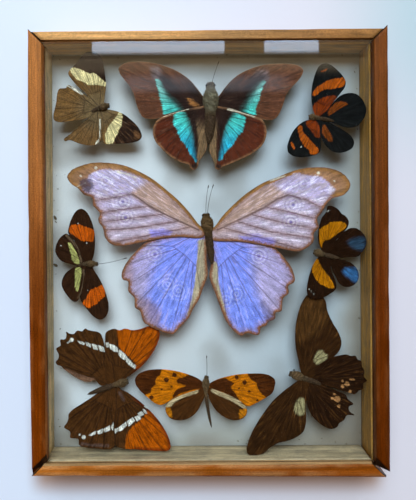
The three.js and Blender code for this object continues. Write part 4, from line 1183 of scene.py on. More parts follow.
def moulding_part(name, line, width, case, seed):
    """The profile carried along the inner edge, with its ends cut at 45 degrees: a ring at share u of the
    length L stands at u (L + 2w) - w, so that it slants with the distance w from the inner edge. The
    rounded edges are worn down unevenly, and the faces are a little wavy."""
    start, end = np.array(line[:2]) / MM, np.array(line[2:]) / MM
    ahead = (end - start) / np.linalg.norm(end - start)
    outward = np.array([-ahead[1], ahead[0]])
    length = np.linalg.norm(end - start) - 2 * width
    start = start + ahead * width
    profile, rounded = moulding_profile(width, case)
    u = np.linspace(0, 1, int(length / 2))[:, None]
    (back_start, back_end), bevel, (wide_start, bow, wide_end), height_left = SIDE_SHAPES[name]
    w, z = profile[None, :, 0], profile[None, :, 1]
    groove_high, top = case.groove_high / MM, case.depth / MM
    over_glass = (z > groove_high - 0.01) * np.clip(1 - w / width * 2, 0, 1)
    slope = bevel * np.clip((z - groove_high) / (top - groove_high), 0, 1)
    w = w + over_glass * (back_start + u * (back_end - back_start) + slope)
    wide = wide_start + u * (wide_end - wide_start) + bow * 4 * u * (1 - u)
    w = w + wide * np.clip(profile[:, 0] / width * 2 - 1, 0, 1)
    z = np.where(z > groove_high, groove_high + (z - groove_high) * height_left, z)
    run = u * (length + 2 * w) - w
    for ring, way, (front, longer, out_to) in zip((0, -1), (-1, 1), MEETING[name]):
        run[ring] += way * front
        run[ring] += way * longer * (profile[:, 1] < MEETING_HEIGHT) * (profile[:, 0] < out_to)
    spots = np.stack([run, w * 3, np.broadcast_to(z * 3, run.shape)], -1)
    worn = rounded[None] * (0.12 * np.clip(wobble(spots, 18.0, seed), 0, 2) + 0.03)
    wavy = 0.035 * wobble(spots, 30.0, seed + 1)
    middle_w = w - (w - width * 0.5) / (width * 0.5) * (worn + wavy * (profile[:, 0] > 0.01))
    middle_z = z - worn * (z > 20)
    places = start + run[..., None] * ahead + middle_w[..., None] * outward
    places = np.concatenate([places, middle_z[..., None]], -1).reshape(-1, 3) * MM
    inside = (profile[:, 0] < 0.05) * (1.0 * (profile[:, 1] > 20) + 2.0 * (profile[:, 1] < 21.4))
    cut = np.zeros(run.shape)
    cut[[0, -1]] = profile[:, 1] > 22
    values = {
        "grain": np.stack([run, w, np.broadcast_to(z, run.shape)], -1).reshape(-1, 3),
        "cut": cut.ravel(),
        "inside": np.tile(inside, len(u)),
        "worn": np.tile(rounded, len(u)),
    }
    faces = skin_faces(len(u), len(profile), pointed=False)
    return places, turned_outward(places, faces), values


def wood_material(name, start_tone, end_tone, bare_tone, lip_light_and_wear_tone, turn, seed):
    """Stained softwood: growth lines and fine pores along the length, and a stain that turns from one tone to
    the other between two places along the side; on the left stile and the top rail its lighter tone is partly
    a painted highlight of the window's sheen. The worn edges and the lip over the glass take the lip tone:
    real wear on the worn edges, and on the lip a painted highlight, except on the right stile, where it is
    painted shade. Inside is bare greyed wood with dirt on it, painted lighter on the left wall and darker on
    the right and top walls. The cut ends are painted near black, as shade in the gaps of the corners."""
    shader = Shader(name)
    grain = shader.attribute("grain", vector=True)
    run = shader.parts(grain)[0]
    shift = (seed * 37.0, 0, seed * 9.0)
    shifted = shader.node("ShaderNodeVectorMath", 0, {"operation": "ADD"}, i0=grain, i1=shift)
    lines = shader.noise(shader.stretched(shifted, (0.012, 0.55, 0.4)), 1.0, 5.0, 0.6)
    fine = shader.noise(shader.stretched(shifted, (0.09, 4.0, 3.0)), 1.0, 4.0, 0.65)
    pores = shader.noise(shader.stretched(shifted, (0.25, 7.0, 6.0)), 1.0, 2.0, 0.5)
    blotch = shader.noise(shader.stretched(shifted, (0.05, 0.12, 0.12)), 1.0, 3.0)
    # The stain's turn along the side; on the left stile and the top rail its lighter tone is partly a painted
    # highlight of the window's sheen
    paint = shader.mix(shader.step(run, *turn), start_tone, end_tone)
    inside = shader.attribute("inside")
    # Where the lip over the glass lies; it and the rubbed edges take the lip tone, a painted highlight on
    # most sides and painted shade on the right stile, over real wear on the rubbed edges
    lip = shader.times(shader.step(inside, 0.3, 0.7), shader.step(inside, 1.7, 1.3))
    speckle = shader.noise(grain, 1.5, 3.0, 0.6)
    rubbed = shader.times(shader.attribute("worn"), shader.step(blotch, 0.4, 0.62, 0.05, 0.35))
    paint = shader.mix(rubbed, paint, lip_light_and_wear_tone)
    paint = shader.mix(shader.times(lip, 0.92), paint, lip_light_and_wear_tone)
    # Bare wood below the glass, in a tone per wall that is painted lighter on the left and darker on the
    # right and top
    paint = shader.mix(shader.step(inside, 1.5, 1.9), paint, bare_tone)
    dirt = shader.noise(shader.stretched(shifted, (0.09, 0.3, 0.3)), 1.0, 4.0, 0.65)
    dirt = shader.times(shader.step(dirt, 0.42, 0.64, 0.0, 0.4), shader.step(inside, 1.5, 1.9))
    paint = shader.mix(dirt, paint, DIRT_TONE)
    shade = shader.step(lines, 0.3, 0.7, 0.7, 1.2)
    for pattern, low, high, dark, light in (
        (fine, 0.3, 0.7, 0.72, 1.2), (pores, 0.33, 0.42, 0.7, 1.0), (speckle, 0.35, 0.65, 0.76, 1.14),
        (blotch, 0.3, 0.7, 0.88, 1.1),
    ):
        shade = shader.times(shade, shader.step(pattern, low, high, dark, light))
    paint = shader.shaded(paint, shade)
    height = shader.plus(shader.times(pores, 0.6), fine)
    # The cut ends at the corners are painted near black: painted shade in the gaps where the sides meet
    paint = shader.mix(shader.step(shader.attribute("cut"), 0.7, 0.9), paint, CUT_SHADE_TONE)
    surface = shader.surface(
        Base_Color=paint, Roughness=shader.step(blotch, 0.3, 0.7, 0.36, 0.52), Specular_IOR_Level=0.12,
        Normal=shader.bump(height, 0.00015, 0.45))
    return shader.finish(surface)


def glass_material(name, tint):
    """Clear glass with a faint film of dust. Shadow and diffuse rays pass, so that light reaches the
    board once."""
    shader = Shader(name)
    smear = shader.noise(shader.object_place(), 18.0, 4.0, 0.6)
    dull = shader.step(smear, 0.45, 0.7, 0.0, 0.035)
    glass = shader.surface(Base_Color=tint, Roughness=dull, IOR=1.5, Transmission_Weight=1.0)
    clear = shader.node("ShaderNodeBsdfTransparent", 0, None, Color=(0.97, 0.985, 0.98))
    passing = shader.math("MAXIMUM", shader.node("ShaderNodeLightPath", "Is Shadow Ray"),
                          shader.node("ShaderNodeLightPath", "Is Diffuse Ray"))
    return shader.finish(shader.node("ShaderNodeMixShader", 0, None, i0=passing, i1=glass, i2=clear))


def board_material(name, left_tone, right_tone, edge_tone, stain_tone, half_x, half_y):
    """Pale matt paper on a board: lighter at the left, darker to the right and to the top and bottom,
    darkest in the lower right corner, with soft brown stains, faint fibres and a few specks."""
    shader = Shader(name)
    place = shader.object_place()
    x, y, _ = shader.parts(place)
    blotch = shader.noise(place, 22.0, 4.0, 0.6)
    uneven = shader.times(shader.minus(blotch, 0.5), 0.25)
    across = shader.math("DIVIDE", x, half_x)
    upright = shader.math("DIVIDE", shader.math("ABSOLUTE", y), half_y)
    to_edge = shader.plus(shader.math("MAXIMUM", across, upright), uneven)
    below = shader.minus(across, shader.math("DIVIDE", y, half_y))
    paint = shader.mix(shader.step(shader.plus(across, uneven), -0.6, 0.8), left_tone, right_tone)
    paint = shader.mix(shader.step(to_edge, 0.75, 1.0), paint, edge_tone)
    paint = shader.mix(shader.step(shader.plus(below, uneven), 1.1, 2.0, 0.0, 0.9), paint, stain_tone)
    stain = shader.noise(place, 30.0, 1.5, 0.5)
    paint = shader.mix(shader.step(stain, 0.45, 0.72, 0.0, 0.45), paint, stain_tone)
    speck = shader.noise(place, 900.0, 1.0)
    paint = shader.mix(shader.step(speck, 0.76, 0.8, 0.0, 0.5), paint, stain_tone)
    fibre = shader.noise(shader.stretched(place, (1.0, 0.25, 1.0)), 1800.0, 3.0, 0.7)
    shade = shader.step(fibre, 0.3, 0.7, 0.97, 1.02)
    shade = shader.times(shade, shader.step(blotch, 0.3, 0.7, 0.95, 1.03))
    paint = shader.shaded(paint, shade)
    surface = shader.surface(Base_Color=paint, Roughness=0.85, Normal=shader.bump(fibre, 0.00006, 0.5))
    return shader.finish(surface)


def fibreboard_material(name, tone, dark_tone):
    """Brown pressed fibreboard: short matted fibres and darker clumps."""
    shader = Shader(name)
    place = shader.object_place()
    fibre = shader.noise(shader.stretched(place, (1.0, 0.5, 1.0)), 1400.0, 4.0, 0.7)
    clump = shader.noise(place, 160.0, 4.0, 0.6)
    paint = shader.mix(shader.step(clump, 0.35, 0.7), tone, dark_tone)
    shade = shader.step(fibre, 0.3, 0.7, 0.75, 1.2)
    paint = shader.shaded(paint, shade)
    surface = shader.surface(Base_Color=paint, Roughness=0.8, Normal=shader.bump(fibre, 0.0002, 0.7))
    return shader.finish(surface)


def dust_parts(seed):
    """Crumbs along the foot of the walls: small lumps, each a closed round form pushed in and out."""
    draws = np.random.default_rng(seed)
    low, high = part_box("mounting_board")
    left, right = low.x / MM + BOARD_TUCK, high.x / MM - BOARD_TUCK
    bottom, top = low.y / MM + BOARD_TUCK, high.y / MM - BOARD_TUCK
    spots = [(left + 1.2, 18), (left + 1.4, -9), (right - 1.3, -72)]
    lumps = len(spots)
    for _ in range(CRUMBS):
        along, off = draws.uniform(0, 1), abs(draws.normal(0, 1.6)) + 0.5
        wall = draws.integers(0, 4)
        x = {0: left + off, 1: right - off}.get(wall, left + (right - left) * along)
        y = {2: bottom + off, 3: top - off}.get(wall, bottom + (top - bottom) * along)
        spots.append((x, y))
    for i, (x, y) in enumerate(spots):
        size = LUMP_SIZE if i < lumps else draws.uniform(0.1, 0.32)
        turn = draws.uniform(0, math.pi)
        stretch = draws.uniform(1.0, 2.2)
        middle = np.array([x, y, BOARD_TOP + size * 0.5])
        share = np.linspace(0.03, math.pi - 0.03, 7)
        ahead = np.array([math.cos(turn), math.sin(turn), 0])
        line = middle - np.cos(share)[:, None] * ahead * size * stretch
        places, faces = tube(line, np.sin(share) * size, 8, 0.6)
        places += (0.16 * size * wobble(places, size * 1.5, seed + i))[:, None] * (places - middle) / size
        yield places * MM, faces, {}


def dust_material(name, tone, dark_tone):
    """Rough crumbs, lighter and darker in fine grains."""
    shader = Shader(name)
    grain = shader.noise(shader.object_place(), 2500.0, 3.0, 0.7)
    paint = shader.mix(shader.step(grain, 0.35, 0.65), dark_tone, tone)
    surface = shader.surface(Base_Color=paint, Roughness=0.9, Normal=shader.bump(grain, 0.0001, 0.8))
    return shader.finish(surface)


class CaseSettings(PropertyGroup):
    """Sizes and colours of the case, its boards and its glass."""

    depth: FloatProperty(
        name="Depth", description="From the back to the front edge", unit="LENGTH",
        default=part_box("stile_left")[1].z)
    edge_round: FloatProperty(
        name="Outer rounding", description="Radius of the outer front edge", unit="LENGTH", default=0.0016)
    inner_round: FloatProperty(
        name="Inner rounding", description="Radius of the inner front edge", unit="LENGTH", default=0.0008)
    groove_low: FloatProperty(
        name="Groove bottom", description="Lower face of the groove for the glass", unit="LENGTH",
        default=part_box("front_glass")[0].z - 0.0003)
    groove_high: FloatProperty(
        name="Groove top", description="Upper face of the groove for the glass", unit="LENGTH",
        default=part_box("front_glass")[1].z + 0.0003)
    # Stain tones at either end of each side. The left stile's top and the top rail's left end are lighter
    # partly as a painted highlight, the window's sheen on the varnish; the rest is the stain's own tone.
    stain: colour("Stain", "Left stile at its top", 190, 118, 56)
    stain_dark: colour("Deep stain", "Left stile at its foot", 122, 52, 1)
    stain_and_sheen_top: colour("Top rail left", "Top rail at its left end", 236, 176, 104)
    stain_top_right: colour("Top rail right", "Top rail at its right end", 144, 98, 50)
    stain_bottom: colour("Bottom rail left", "Bottom rail at its left end", 178, 98, 24)
    stain_bottom_right: colour("Bottom rail right", "Bottom rail at its right end", 146, 70, 4)
    stain_right: colour("Right stile", "Right stile at its top", 124, 66, 20)
    stain_right_dark: colour("Right stile foot", "Right stile at its foot", 98, 40, 1)
    # The bare walls inside are one greyed wood in three tones: painted lighter on the left wall, painted
    # shade on the right wall and the top wall, the bottom wall between them
    bare_left_lit: colour("Bare left wall", "Greyed wood inside the left stile", 252, 216, 156)
    bare_right_shaded: colour("Bare right wall", "Greyed wood inside the right stile", 212, 158, 78)
    bare_bottom: colour("Bare bottom wall", "Greyed wood inside the bottom rail", 196, 172, 132)
    # The edges over the glass and the rubbed edges share one tone per side: painted highlights on the bottom
    # rail, the top rail and the left stile, painted shade on the right stile, over the real wear of the
    # rubbed edges
    lip: colour("Rubbed edge", "Where the stain is rubbed thin", 206, 160, 104)
    lip_top_lit: colour("Top edge", "Inner edge of the top rail", 196, 132, 70)
    lip_left_lit: colour("Left edge", "Inner edge of the left stile", 172, 108, 54)
    lip_right_shaded: colour("Dark edge", "Inner edge of the right stile", 130, 76, 36)
    glass: colour("Glass", "Tint of the glass", 252, 255, 254)
    # The paper's tones: the left half lighter, the right half darker, and darker again near the walls
    paper: colour("Paper", "Left half of the mounting board", 230, 231, 226)
    paper_right: colour("Paper right", "Right half of the mounting board", 187, 196, 198)
    paper_edge: colour("Dirty paper", "Mounting board near the walls", 172, 169, 156)
    paper_stain: colour("Stains", "Soft stains on the paper", 126, 112, 92)
    panel: colour("Back panel", "Fibreboard at the back", 128, 92, 58)
    panel_dark: colour("Back panel clumps", "Darker clumps of fibre", 92, 62, 38)
    dust: colour("Dust", "Crumbs at the foot of the walls", 128, 112, 84)
    dust_dark: colour("Dark dust", "Darker side of the crumbs", 84, 66, 44)


class InsectSettings(PropertyGroup):
    """Sizes that all the butterflies share."""

    step: FloatProperty(
        name="Mesh step", description="Distance between mesh points on a wing, in plan squares", default=1.35,
        min=0.5, max=4.0)
    thickness: FloatProperty(
        name="Wing thickness", description="Thickness of a membrane", unit="LENGTH", default=0.00024)
    rib: FloatProperty(name="Vein radius", description="Radius of a vein", unit="LENGTH", default=0.00012)
    feeler: FloatProperty(
        name="Feeler radius", description="Radius of a feeler", unit="LENGTH", default=0.00013)


class FurTones:
    """Colours of a body, for each butterfly's settings."""

    waist: FloatProperty(name="Waist", description="Share of the body where the abdomen starts", default=0.5)
    head: colour("Head", "Fur on the head", 60, 45, 35)
    thorax: colour("Thorax", "Fur on the thorax", 102, 76, 48)
    abdomen: colour("Abdomen", "Scales on the abdomen", 64, 46, 31)
    fur: colour("Hair ends", "Ends of the longer hairs", 184, 152, 110)
    eye: colour("Eyes", "The domed eyes", 30, 20, 14)
    dust: colour("Dust", "Pale specks on the wings", 190, 178, 158)


# Colours of each butterfly's wings, and of its body where they differ from the shared ones
class LargeBlueTones(FurTones, PropertyGroup):
    fur: colour("Hair ends", "Ends of the longer hairs", 150, 112, 66)
    ground: colour("Lilac", "Scales of the forewings", 224, 198, 212)
    white: colour("White streaks", "Pale streaks between the veins", 242, 234, 242)
    smear: colour("Smears", "Brownish smears along the veins", 160, 122, 120)
    blue: colour("Violet blue", "Scales of the hindwings", 142, 158, 255)
    lilac: colour("Pale lilac", "Outer parts of the hindwings", 196, 178, 216)
    rim: colour("Rim", "Brown outer rim", 146, 92, 58)
    apex: colour("Tips", "Tan tips of the forewings", 164, 110, 52)
    pale: colour("Pale marks", "Whitish marks in the tips", 228, 214, 190)
    cell: colour("Cell", "Pinkish brown cell at the root", 200, 156, 128)
    nerve: colour("Main veins", "Dark main veins", 86, 56, 50)
    violet: colour("Violet", "Violet streaks and patches", 150, 138, 230)
    inner: colour("Inner margins", "Tan margins beside the body", 192, 172, 138)
    faded: colour("Faded patches", "Where scales are rubbed off", 164, 128, 126)
    torn: colour("Torn places", "Dark torn places", 74, 58, 74)
    ring: colour("Rings", "Rings of the eye spots", 112, 92, 168)


class TurquoiseBandTones(FurTones, PropertyGroup):
    thorax: colour("Thorax", "Fur on the thorax", 112, 104, 82)
    ground: colour("Brown", "Outer part of the forewings", 112, 66, 42)
    dark: colour("Dark brown", "Roots and front edges", 44, 28, 22)
    hind: colour("Red brown", "Outer part of the hindwings", 100, 42, 20)
    band: colour("Turquoise", "The glossy band", 76, 206, 188)
    band_pale: colour("Pale band", "Upper end of the band", 140, 206, 190)
    band_blue: colour("Blue band", "Lower end of the band", 30, 176, 210)
    smoke: colour("Smoke", "Faint grey above the band", 128, 118, 120)
    tan: colour("Tan", "Inner margins", 128, 98, 66)
    rim: colour("Rim", "Tan rim of the hindwings", 150, 104, 68)
    tuft: colour("Tuft", "Orange hair at the roots", 176, 112, 52)
    fringe: colour("Fringe", "Cream line along the hindwings", 232, 214, 182)


class YellowBandTones(FurTones, PropertyGroup):
    ground: colour("Brown", "Scales of the wings", 130, 92, 48)
    moss: colour("Moss grey", "Grey hair towards the roots", 120, 100, 68)
    band: colour("Yellow band", "Band across the forewings", 238, 216, 152)
    tip: colour("Tips", "Dark tips of the forewings", 48, 30, 21)
    patch: colour("Tip patch", "Brown patch in a tip", 110, 72, 42)
    cream: colour("Cream", "Edge lines of the hindwings", 224, 214, 188)
    gold: colour("Gold brown", "Lower hindwing", 126, 90, 50)


class OrangeStripeTones(FurTones, PropertyGroup):
    ground: colour("Black", "Scales of the wings", 20, 21, 20)
    stripe: colour("Orange", "Outer stripes", 176, 80, 8)
    base: colour("Rust", "Stripes at the roots", 128, 48, 6)
    streak: colour("Dull orange", "Stripes on the hindwings", 130, 60, 10)
    fleck: colour("Fleck", "White flecks", 210, 205, 190)


class RedPatchTones(FurTones, PropertyGroup):
    ground: colour("Dark brown", "Scales of the wings", 52, 28, 13)
    patch: colour("Red orange", "Patches on the forewings", 206, 88, 8)
    bar: colour("Yellow", "Bars on the hindwings", 182, 176, 100)
    tan: colour("Tan", "Strip between the wings", 120, 95, 70)
    fleck: colour("Fleck", "White flecks", 210, 205, 190)


class BlueSpotTones(FurTones, PropertyGroup):
    ground: colour("Dark brown", "Scales of the wings", 38, 18, 6)
    patch: colour("Amber", "Patches on the forewings", 184, 110, 2)
    teal: colour("Teal", "Spot on the upper hindwing", 44, 66, 84)
    blue: colour("Blue", "Spot on the lower hindwing", 52, 98, 142)
    fleck: colour("Fleck", "White flecks", 205, 200, 185)


class WhiteBarTones(FurTones, PropertyGroup):
    ground: colour("Brown", "Scales of the wings", 78, 45, 18)
    sunset: colour("Orange", "Tips of the forewings", 182, 84, 4)
    rim: colour("Rim", "Dark rim of the tips", 104, 32, 12)
    bar: colour("White bar", "Broken bar across the wings", 226, 222, 206)
    grey: colour("Grey", "Greyish streaks", 122, 108, 106)
    fold: colour("Fold", "Inner fold of the hindwings", 136, 98, 74)
    vein: colour("Veins", "Dark veins", 40, 22, 12)


class AmberTones(FurTones, PropertyGroup):
    ground: colour("Amber", "Ground of the forewings", 206, 114, 8)
    dark: colour("Dark marks", "Tips, roots and spots", 78, 37, 10)
    hind: colour("Brown", "Hindwings", 76, 43, 16)
    cream: colour("Cream", "Front edges of the hindwings", 198, 174, 130)
    corner: colour("Corners", "Orange corners of the hindwings", 190, 112, 14)


class DarkSwallowtailTones(FurTones, PropertyGroup):
    ground: colour("Dark brown", "Scales of the wings", 56, 31, 11)
    hind: colour("Darker brown", "Hindwings", 42, 21, 8)
    light: colour("Rubbed", "Where the scales are thin", 100, 64, 28)
    cream: colour("Cream", "Patch on the forewings", 182, 168, 118)
    split: colour("Veins", "Veins across the patch", 52, 34, 18)
    spot: colour("Spots", "Tan spots on the hindwings", 172, 120, 72)


# The coats of paint of each butterfly, in the order in which they go on
COATS = {
    "large_blue": [
        layer("streak", "violet", 0.40, share=0.4, fade=("y", 260, 170)),
        layer("streak", "white", 0.5, share=0.75),
        layer("nerve", "smear", 2.8, 2.0, 0.9, width=2.0, comb=3.0, on="fore"),
        layer("cell", "cell", 4.0, 3.5, 0.9),
        layer("streak", "ground", 0.5, share=0.35, on="fore"),
        layer("root_gap", "cell", 14.0, 4.0, 0.5, width=24.0, on="fore"),
        layer("hind", "blue", share=1.0),
        layer("lilac_hind", "lilac", 9.0, 4.0),
        layer("streak", "lilac", 0.54, share=0.5, on="hind"),
        layer("streak", "violet", 0.44, share=0.3, on="hind", fade=("y", 300, 240)),
        layer("rim_gap", "faded", 5.0, 4.0, 0.65, width=5.5),
        layer("violet", "violet", 2.4, 2.0, 0.75, comb=5.0),
        layer("eyes", "ring", 0.8, 0.0, 0.75, width=1.6, ring=0.01, comb=0.0),
        layer("eyes", "white", 0.6, 0.0, 0.32, width=0.6, ring=3.0, comb=0.0),
        layer("eyes", "ring", 0.7, 0.0, 0.3, width=0.6, ring=4.6, comb=0.0),
        layer("eyes", "white", 0.6, 0.0, 0.25, width=0.7, ring=6.6, comb=0.0),
        layer("eyes", "ring", 0.8, 0.0, 0.2, width=0.6, ring=8.4, comb=0.0),
        layer("eyes", "white", 0.8, 0.0, 0.16, width=0.7, ring=10.5, comb=0.0),
        layer("inner", "inner", 1.0, 1.0),
        layer("faded", "faded", 4.5, 3.0, 0.65, comb=4.0),
        layer("vein_gap", "nerve", 0.5, 0.2, 0.5, width=0.5, on="hind"),
        layer("rim_gap", "rim", 1.6, 3.6, width=2.8),
        layer("costa", "apex", 1.0, 1.0),
        layer("apex", "apex", 1.6, 2.4, 0.92),
        layer("rim_gap", "nerve", 1.0, 1.6, 0.5, width=0.8),
        layer("nerve", "nerve", 0.6, 0.4, 0.62, comb=0.3),
        layer("pale", "pale", 0.5, 0.5, 0.9),
        layer("dusk", "torn", 1.6, 3.0, 0.8, comb=5.0),
        layer("torn", "torn", 1.6, 2.4, 0.5, comb=4.0),
    ],
    "turquoise_band": [
        layer("hind", "hind", share=1.0),
        layer("root_gap", "dark", 16.0, 6.0, 0.95, width=36.0),
        layer("streak", "dark", 0.50, share=0.55),
        layer("streak", "tan", 0.60, share=0.5),
        layer("smoke", "smoke", 3.0, 2.0, 0.5),
        layer("rim_gap", "rim", 1.0, 1.2, 0.8, width=1.8, on="hind"),
        layer("rim_gap", "rim", 0.8, 1.2, 0.5, width=0.7, on="fore"),
        layer("band", "band", 1.1, 1.0, comb=3.0),
        layer("band", "band_pale", 1.1, 1.0, 0.9, fade=("y", 112, 86), comb=3.0),
        layer("band", "band_blue", 1.1, 1.0, 0.9, fade=("y", 118, 150), comb=3.0),
        layer("shade", "dark", 4.0, 1.0, 0.95, width=2.6, comb=3.0),
        layer("vein_gap", "dark", 0.5, 0.2, 0.5, width=0.5),
        layer("tan", "tan", 1.2, 1.4, fade=("y", 116, 136)),
        layer("tail", "dark", 1.4, 1.4),
        layer("fringe", "fringe", 0.5, 0.8, 0.85),
        layer("tuft", "tuft", 1.6, 2.6, 0.75, comb=4.0),
    ],
    "yellow_band": [
        layer("gold", "gold", 1.0, 1.0),
        layer("root_gap", "moss", 10.0, 5.0, 0.7, width=20.0),
        layer("streak", "tip", 0.52, share=0.5),
        layer("tip", "tip", 0.8, 1.0),
        layer("streak", "patch", 0.52, share=0.5, fade=("y", 104, 112), on="fore"),
        layer("patch", "patch", 1.0, 1.0),
        layer("band", "band", 0.5, 0.8),
        layer("streak_mark", "cream", 0.5, 0.6),
        layer("vein_gap", "tip", 0.5, 0.2, 0.5, width=0.4),
        layer("streak", "cream", 0.64, share=0.35, on="fore"),
    ],
    "orange_stripe": [
        layer("stripe", "stripe", 0.4, 0.8),
        layer("base", "base", 0.6, 1.0),
        layer("amber_streak", "streak", 0.7, 1.0),
        layer("vein_gap", "ground", 0.5, 0.2, 0.45, width=0.4),
        layer("fleck", "fleck", 0.4, 0.2),
    ],
    "red_patch": [
        layer("patch", "patch", 0.5, 0.8),
        layer("bar", "bar", 0.5, 0.8),
        layer("tan", "tan", 0.6, 0.6, 0.8),
        layer("vein_gap", "ground", 0.4, 0.2, 0.5, width=0.3),
        layer("fleck", "fleck", 0.4, 0.2),
    ],
    "blue_spot": [
        layer("patch", "patch", 0.5, 0.8),
        layer("teal", "teal", 2.6, 1.8),
        layer("blue", "blue", 2.4, 1.8),
        layer("vein_gap", "ground", 0.4, 0.2, 0.5, width=0.3),
        layer("fleck", "fleck", 0.4, 0.2, 0.7),
    ],
    "white_bar": [
        layer("sunset", "sunset", 0.9, 1.4),
        layer("rim_gap", "rim", 1.4, 1.0, 0.7, width=2.5, on="fore", fade=("x", 128, 140)),
        layer("streak", "vein", 0.56, share=0.25),
        layer("vein_gap", "vein", 0.5, 0.2, 0.6, width=0.5),
        layer("fold", "fold", 1.2, 1.4, 0.8),
        layer("grey", "grey", 1.4, 1.6, 0.3),
        layer("bar", "bar", 0.5, 0.3, width=0.25, comb=0.4),
    ],
    "amber": [
        layer("hind", "hind", share=1.0),
        layer("dark", "dark", 0.5, 0.8),
        layer("cream", "cream", 0.8, 0.8),
        layer("corner", "corner", 0.7, 0.8),
        layer("vein_gap", "dark", 0.5, 0.2, 0.35, width=0.4),
    ],
    "dark_swallowtail": [
        layer("hind", "hind", share=1.0),
        layer("light", "light", 4.0, 3.0, 0.5),
        layer("streak", "light", 0.55, share=0.45),
        layer("cream", "cream", 1.5, 1.2, 0.9),
        layer("split", "split", 0.5, 0.3, 0.35),
        layer("vein_gap", "ground", 0.5, 0.2, 0.6, width=0.5),
        layer("spot", "spot", 0.6, 0.8),
    ],
}


class SetButterfly:
    """Makes one butterfly where its solid stands: wings, body, feelers and pin. shine is how strongly its
    scales mirror, mottle how uneven their tone is, and coarser how much longer its mesh step is."""

    bl_options = {"REGISTER", "UNDO"}
    key = ""
    shine = 0.08
    mottle = 0.4
    coarser = 1.0

    def execute(self, context):
        key, node, slot = self.key, "butterfly_" + self.key, "wings_" + self.key
        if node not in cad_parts:
            raise RuntimeError(f"the packed model has no {node}")
        sizes = context.scene.display_insects
        tones = getattr(context.scene, "display_" + key)
        seed = 10 * (1 + list(BUTTERFLIES).index(key))
        half = sizes.thickness / MM / 2
        step = sizes.step * self.coarser
        parts = []
        for number, name in enumerate(BUTTERFLIES[key]["wings"]):
            wing = Wing(key, name, step * 0.8, seed + number)
            parts.append(wing.membrane(step, half))
            parts += wing.ribs(half, sizes.rib / MM)
        paint = wing_material("scales_" + key, tones, COATS[key], self.shine, self.mottle)
        make_piece(node + "_wings", parts, paint, node, slot)
        fur = body_material("fur_" + key, tones)
        body = [*body_parts(key, seed), *feeler_parts(key, sizes.feeler / MM)]
        make_piece(node + "_body", body, fur, node, slot)
        make_piece(node + "_pin", list(pin_parts(key)), steel_material(), node)
        return {"FINISHED"}


class DISPLAYCASE_OT_large_blue(SetButterfly, Operator):
    """The large lilac and blue butterfly in the middle"""

    bl_idname = "displaycase.large_blue"
    bl_label = "Large blue"
    key = "large_blue"
    shine = 0.35
    mottle = 0.27
    coarser = 1.25


class DISPLAYCASE_OT_turquoise_band(SetButterfly, Operator):
    """The brown butterfly with a turquoise band, at the top"""

    bl_idname = "displaycase.turquoise_band"
    bl_label = "Turquoise band"
    key = "turquoise_band"
    shine = 0.15


class DISPLAYCASE_OT_yellow_band(SetButterfly, Operator):
    """The brown butterfly with yellow bands, at the top left"""

    bl_idname = "displaycase.yellow_band"
    bl_label = "Yellow band"
    key = "yellow_band"


class DISPLAYCASE_OT_orange_stripe(SetButterfly, Operator):
    """The black butterfly with orange stripes, at the top right"""

    bl_idname = "displaycase.orange_stripe"
    bl_label = "Orange stripe"
    key = "orange_stripe"


class DISPLAYCASE_OT_red_patch(SetButterfly, Operator):
    """The dark butterfly with red-orange patches, at the left"""

    bl_idname = "displaycase.red_patch"
    bl_label = "Red patch"
    key = "red_patch"


class DISPLAYCASE_OT_blue_spot(SetButterfly, Operator):
    """The dark butterfly with amber patches and blue spots, at the right"""

    bl_idname = "displaycase.blue_spot"
    bl_label = "Blue spot"
    key = "blue_spot"


class DISPLAYCASE_OT_white_bar(SetButterfly, Operator):
    """The brown butterfly with a broken white bar and orange tips, at the lower left"""

    bl_idname = "displaycase.white_bar"
    bl_label = "White bar"
    key = "white_bar"


class DISPLAYCASE_OT_amber(SetButterfly, Operator):
    """The amber butterfly with dark spots, at the bottom"""

    bl_idname = "displaycase.amber"
    bl_label = "Amber"
    key = "amber"


class DISPLAYCASE_OT_dark_swallowtail(SetButterfly, Operator):
    """The dark brown swallowtail with cream patches, at the lower right"""

    bl_idname = "displaycase.dark_swallowtail"
    bl_label = "Dark swallowtail"
    key = "dark_swallowtail"


class DISPLAYCASE_OT_sides(Operator):
    """The four stained sides of the case, each mitred at its ends"""

    bl_idname = "displaycase.sides"
    bl_label = "Case sides"
    bl_options = {"REGISTER", "UNDO"}

    def execute(self, context):
        case = context.scene.display_case
        # For each side: the stain at either end, the bare wall inside and the lip tone. The left stile's top
        # and the top rail's left end are partly a painted highlight, the bare walls are painted lighter on
        # the left and darker on the right and top, and the lip tone is a painted highlight, on the right
        # stile painted shade.
        tones = {
            "stile_left": (case.stain_dark, case.stain, case.bare_left_lit, case.lip_left_lit),
            "stile_right": (case.stain_right, case.stain_right_dark, case.bare_right_shaded, case.lip_right_shaded),
            "rail_top": (case.stain_and_sheen_top, case.stain_top_right, case.bare_right_shaded, case.lip_top_lit),
            "rail_bottom": (case.stain_bottom_right, case.stain_bottom, case.bare_bottom, case.lip),
        }
        for seed, (name, line, width) in enumerate(side_lines()):
            paint = wood_material("wood_" + name, *tones[name], STAIN_TURN[name], seed + 1)
            part = moulding_part(name, line, width / MM, case, 50 + seed * 3)
            make_piece(name + "_wood", [part], paint, name, "stained_wood")
        return {"FINISHED"}


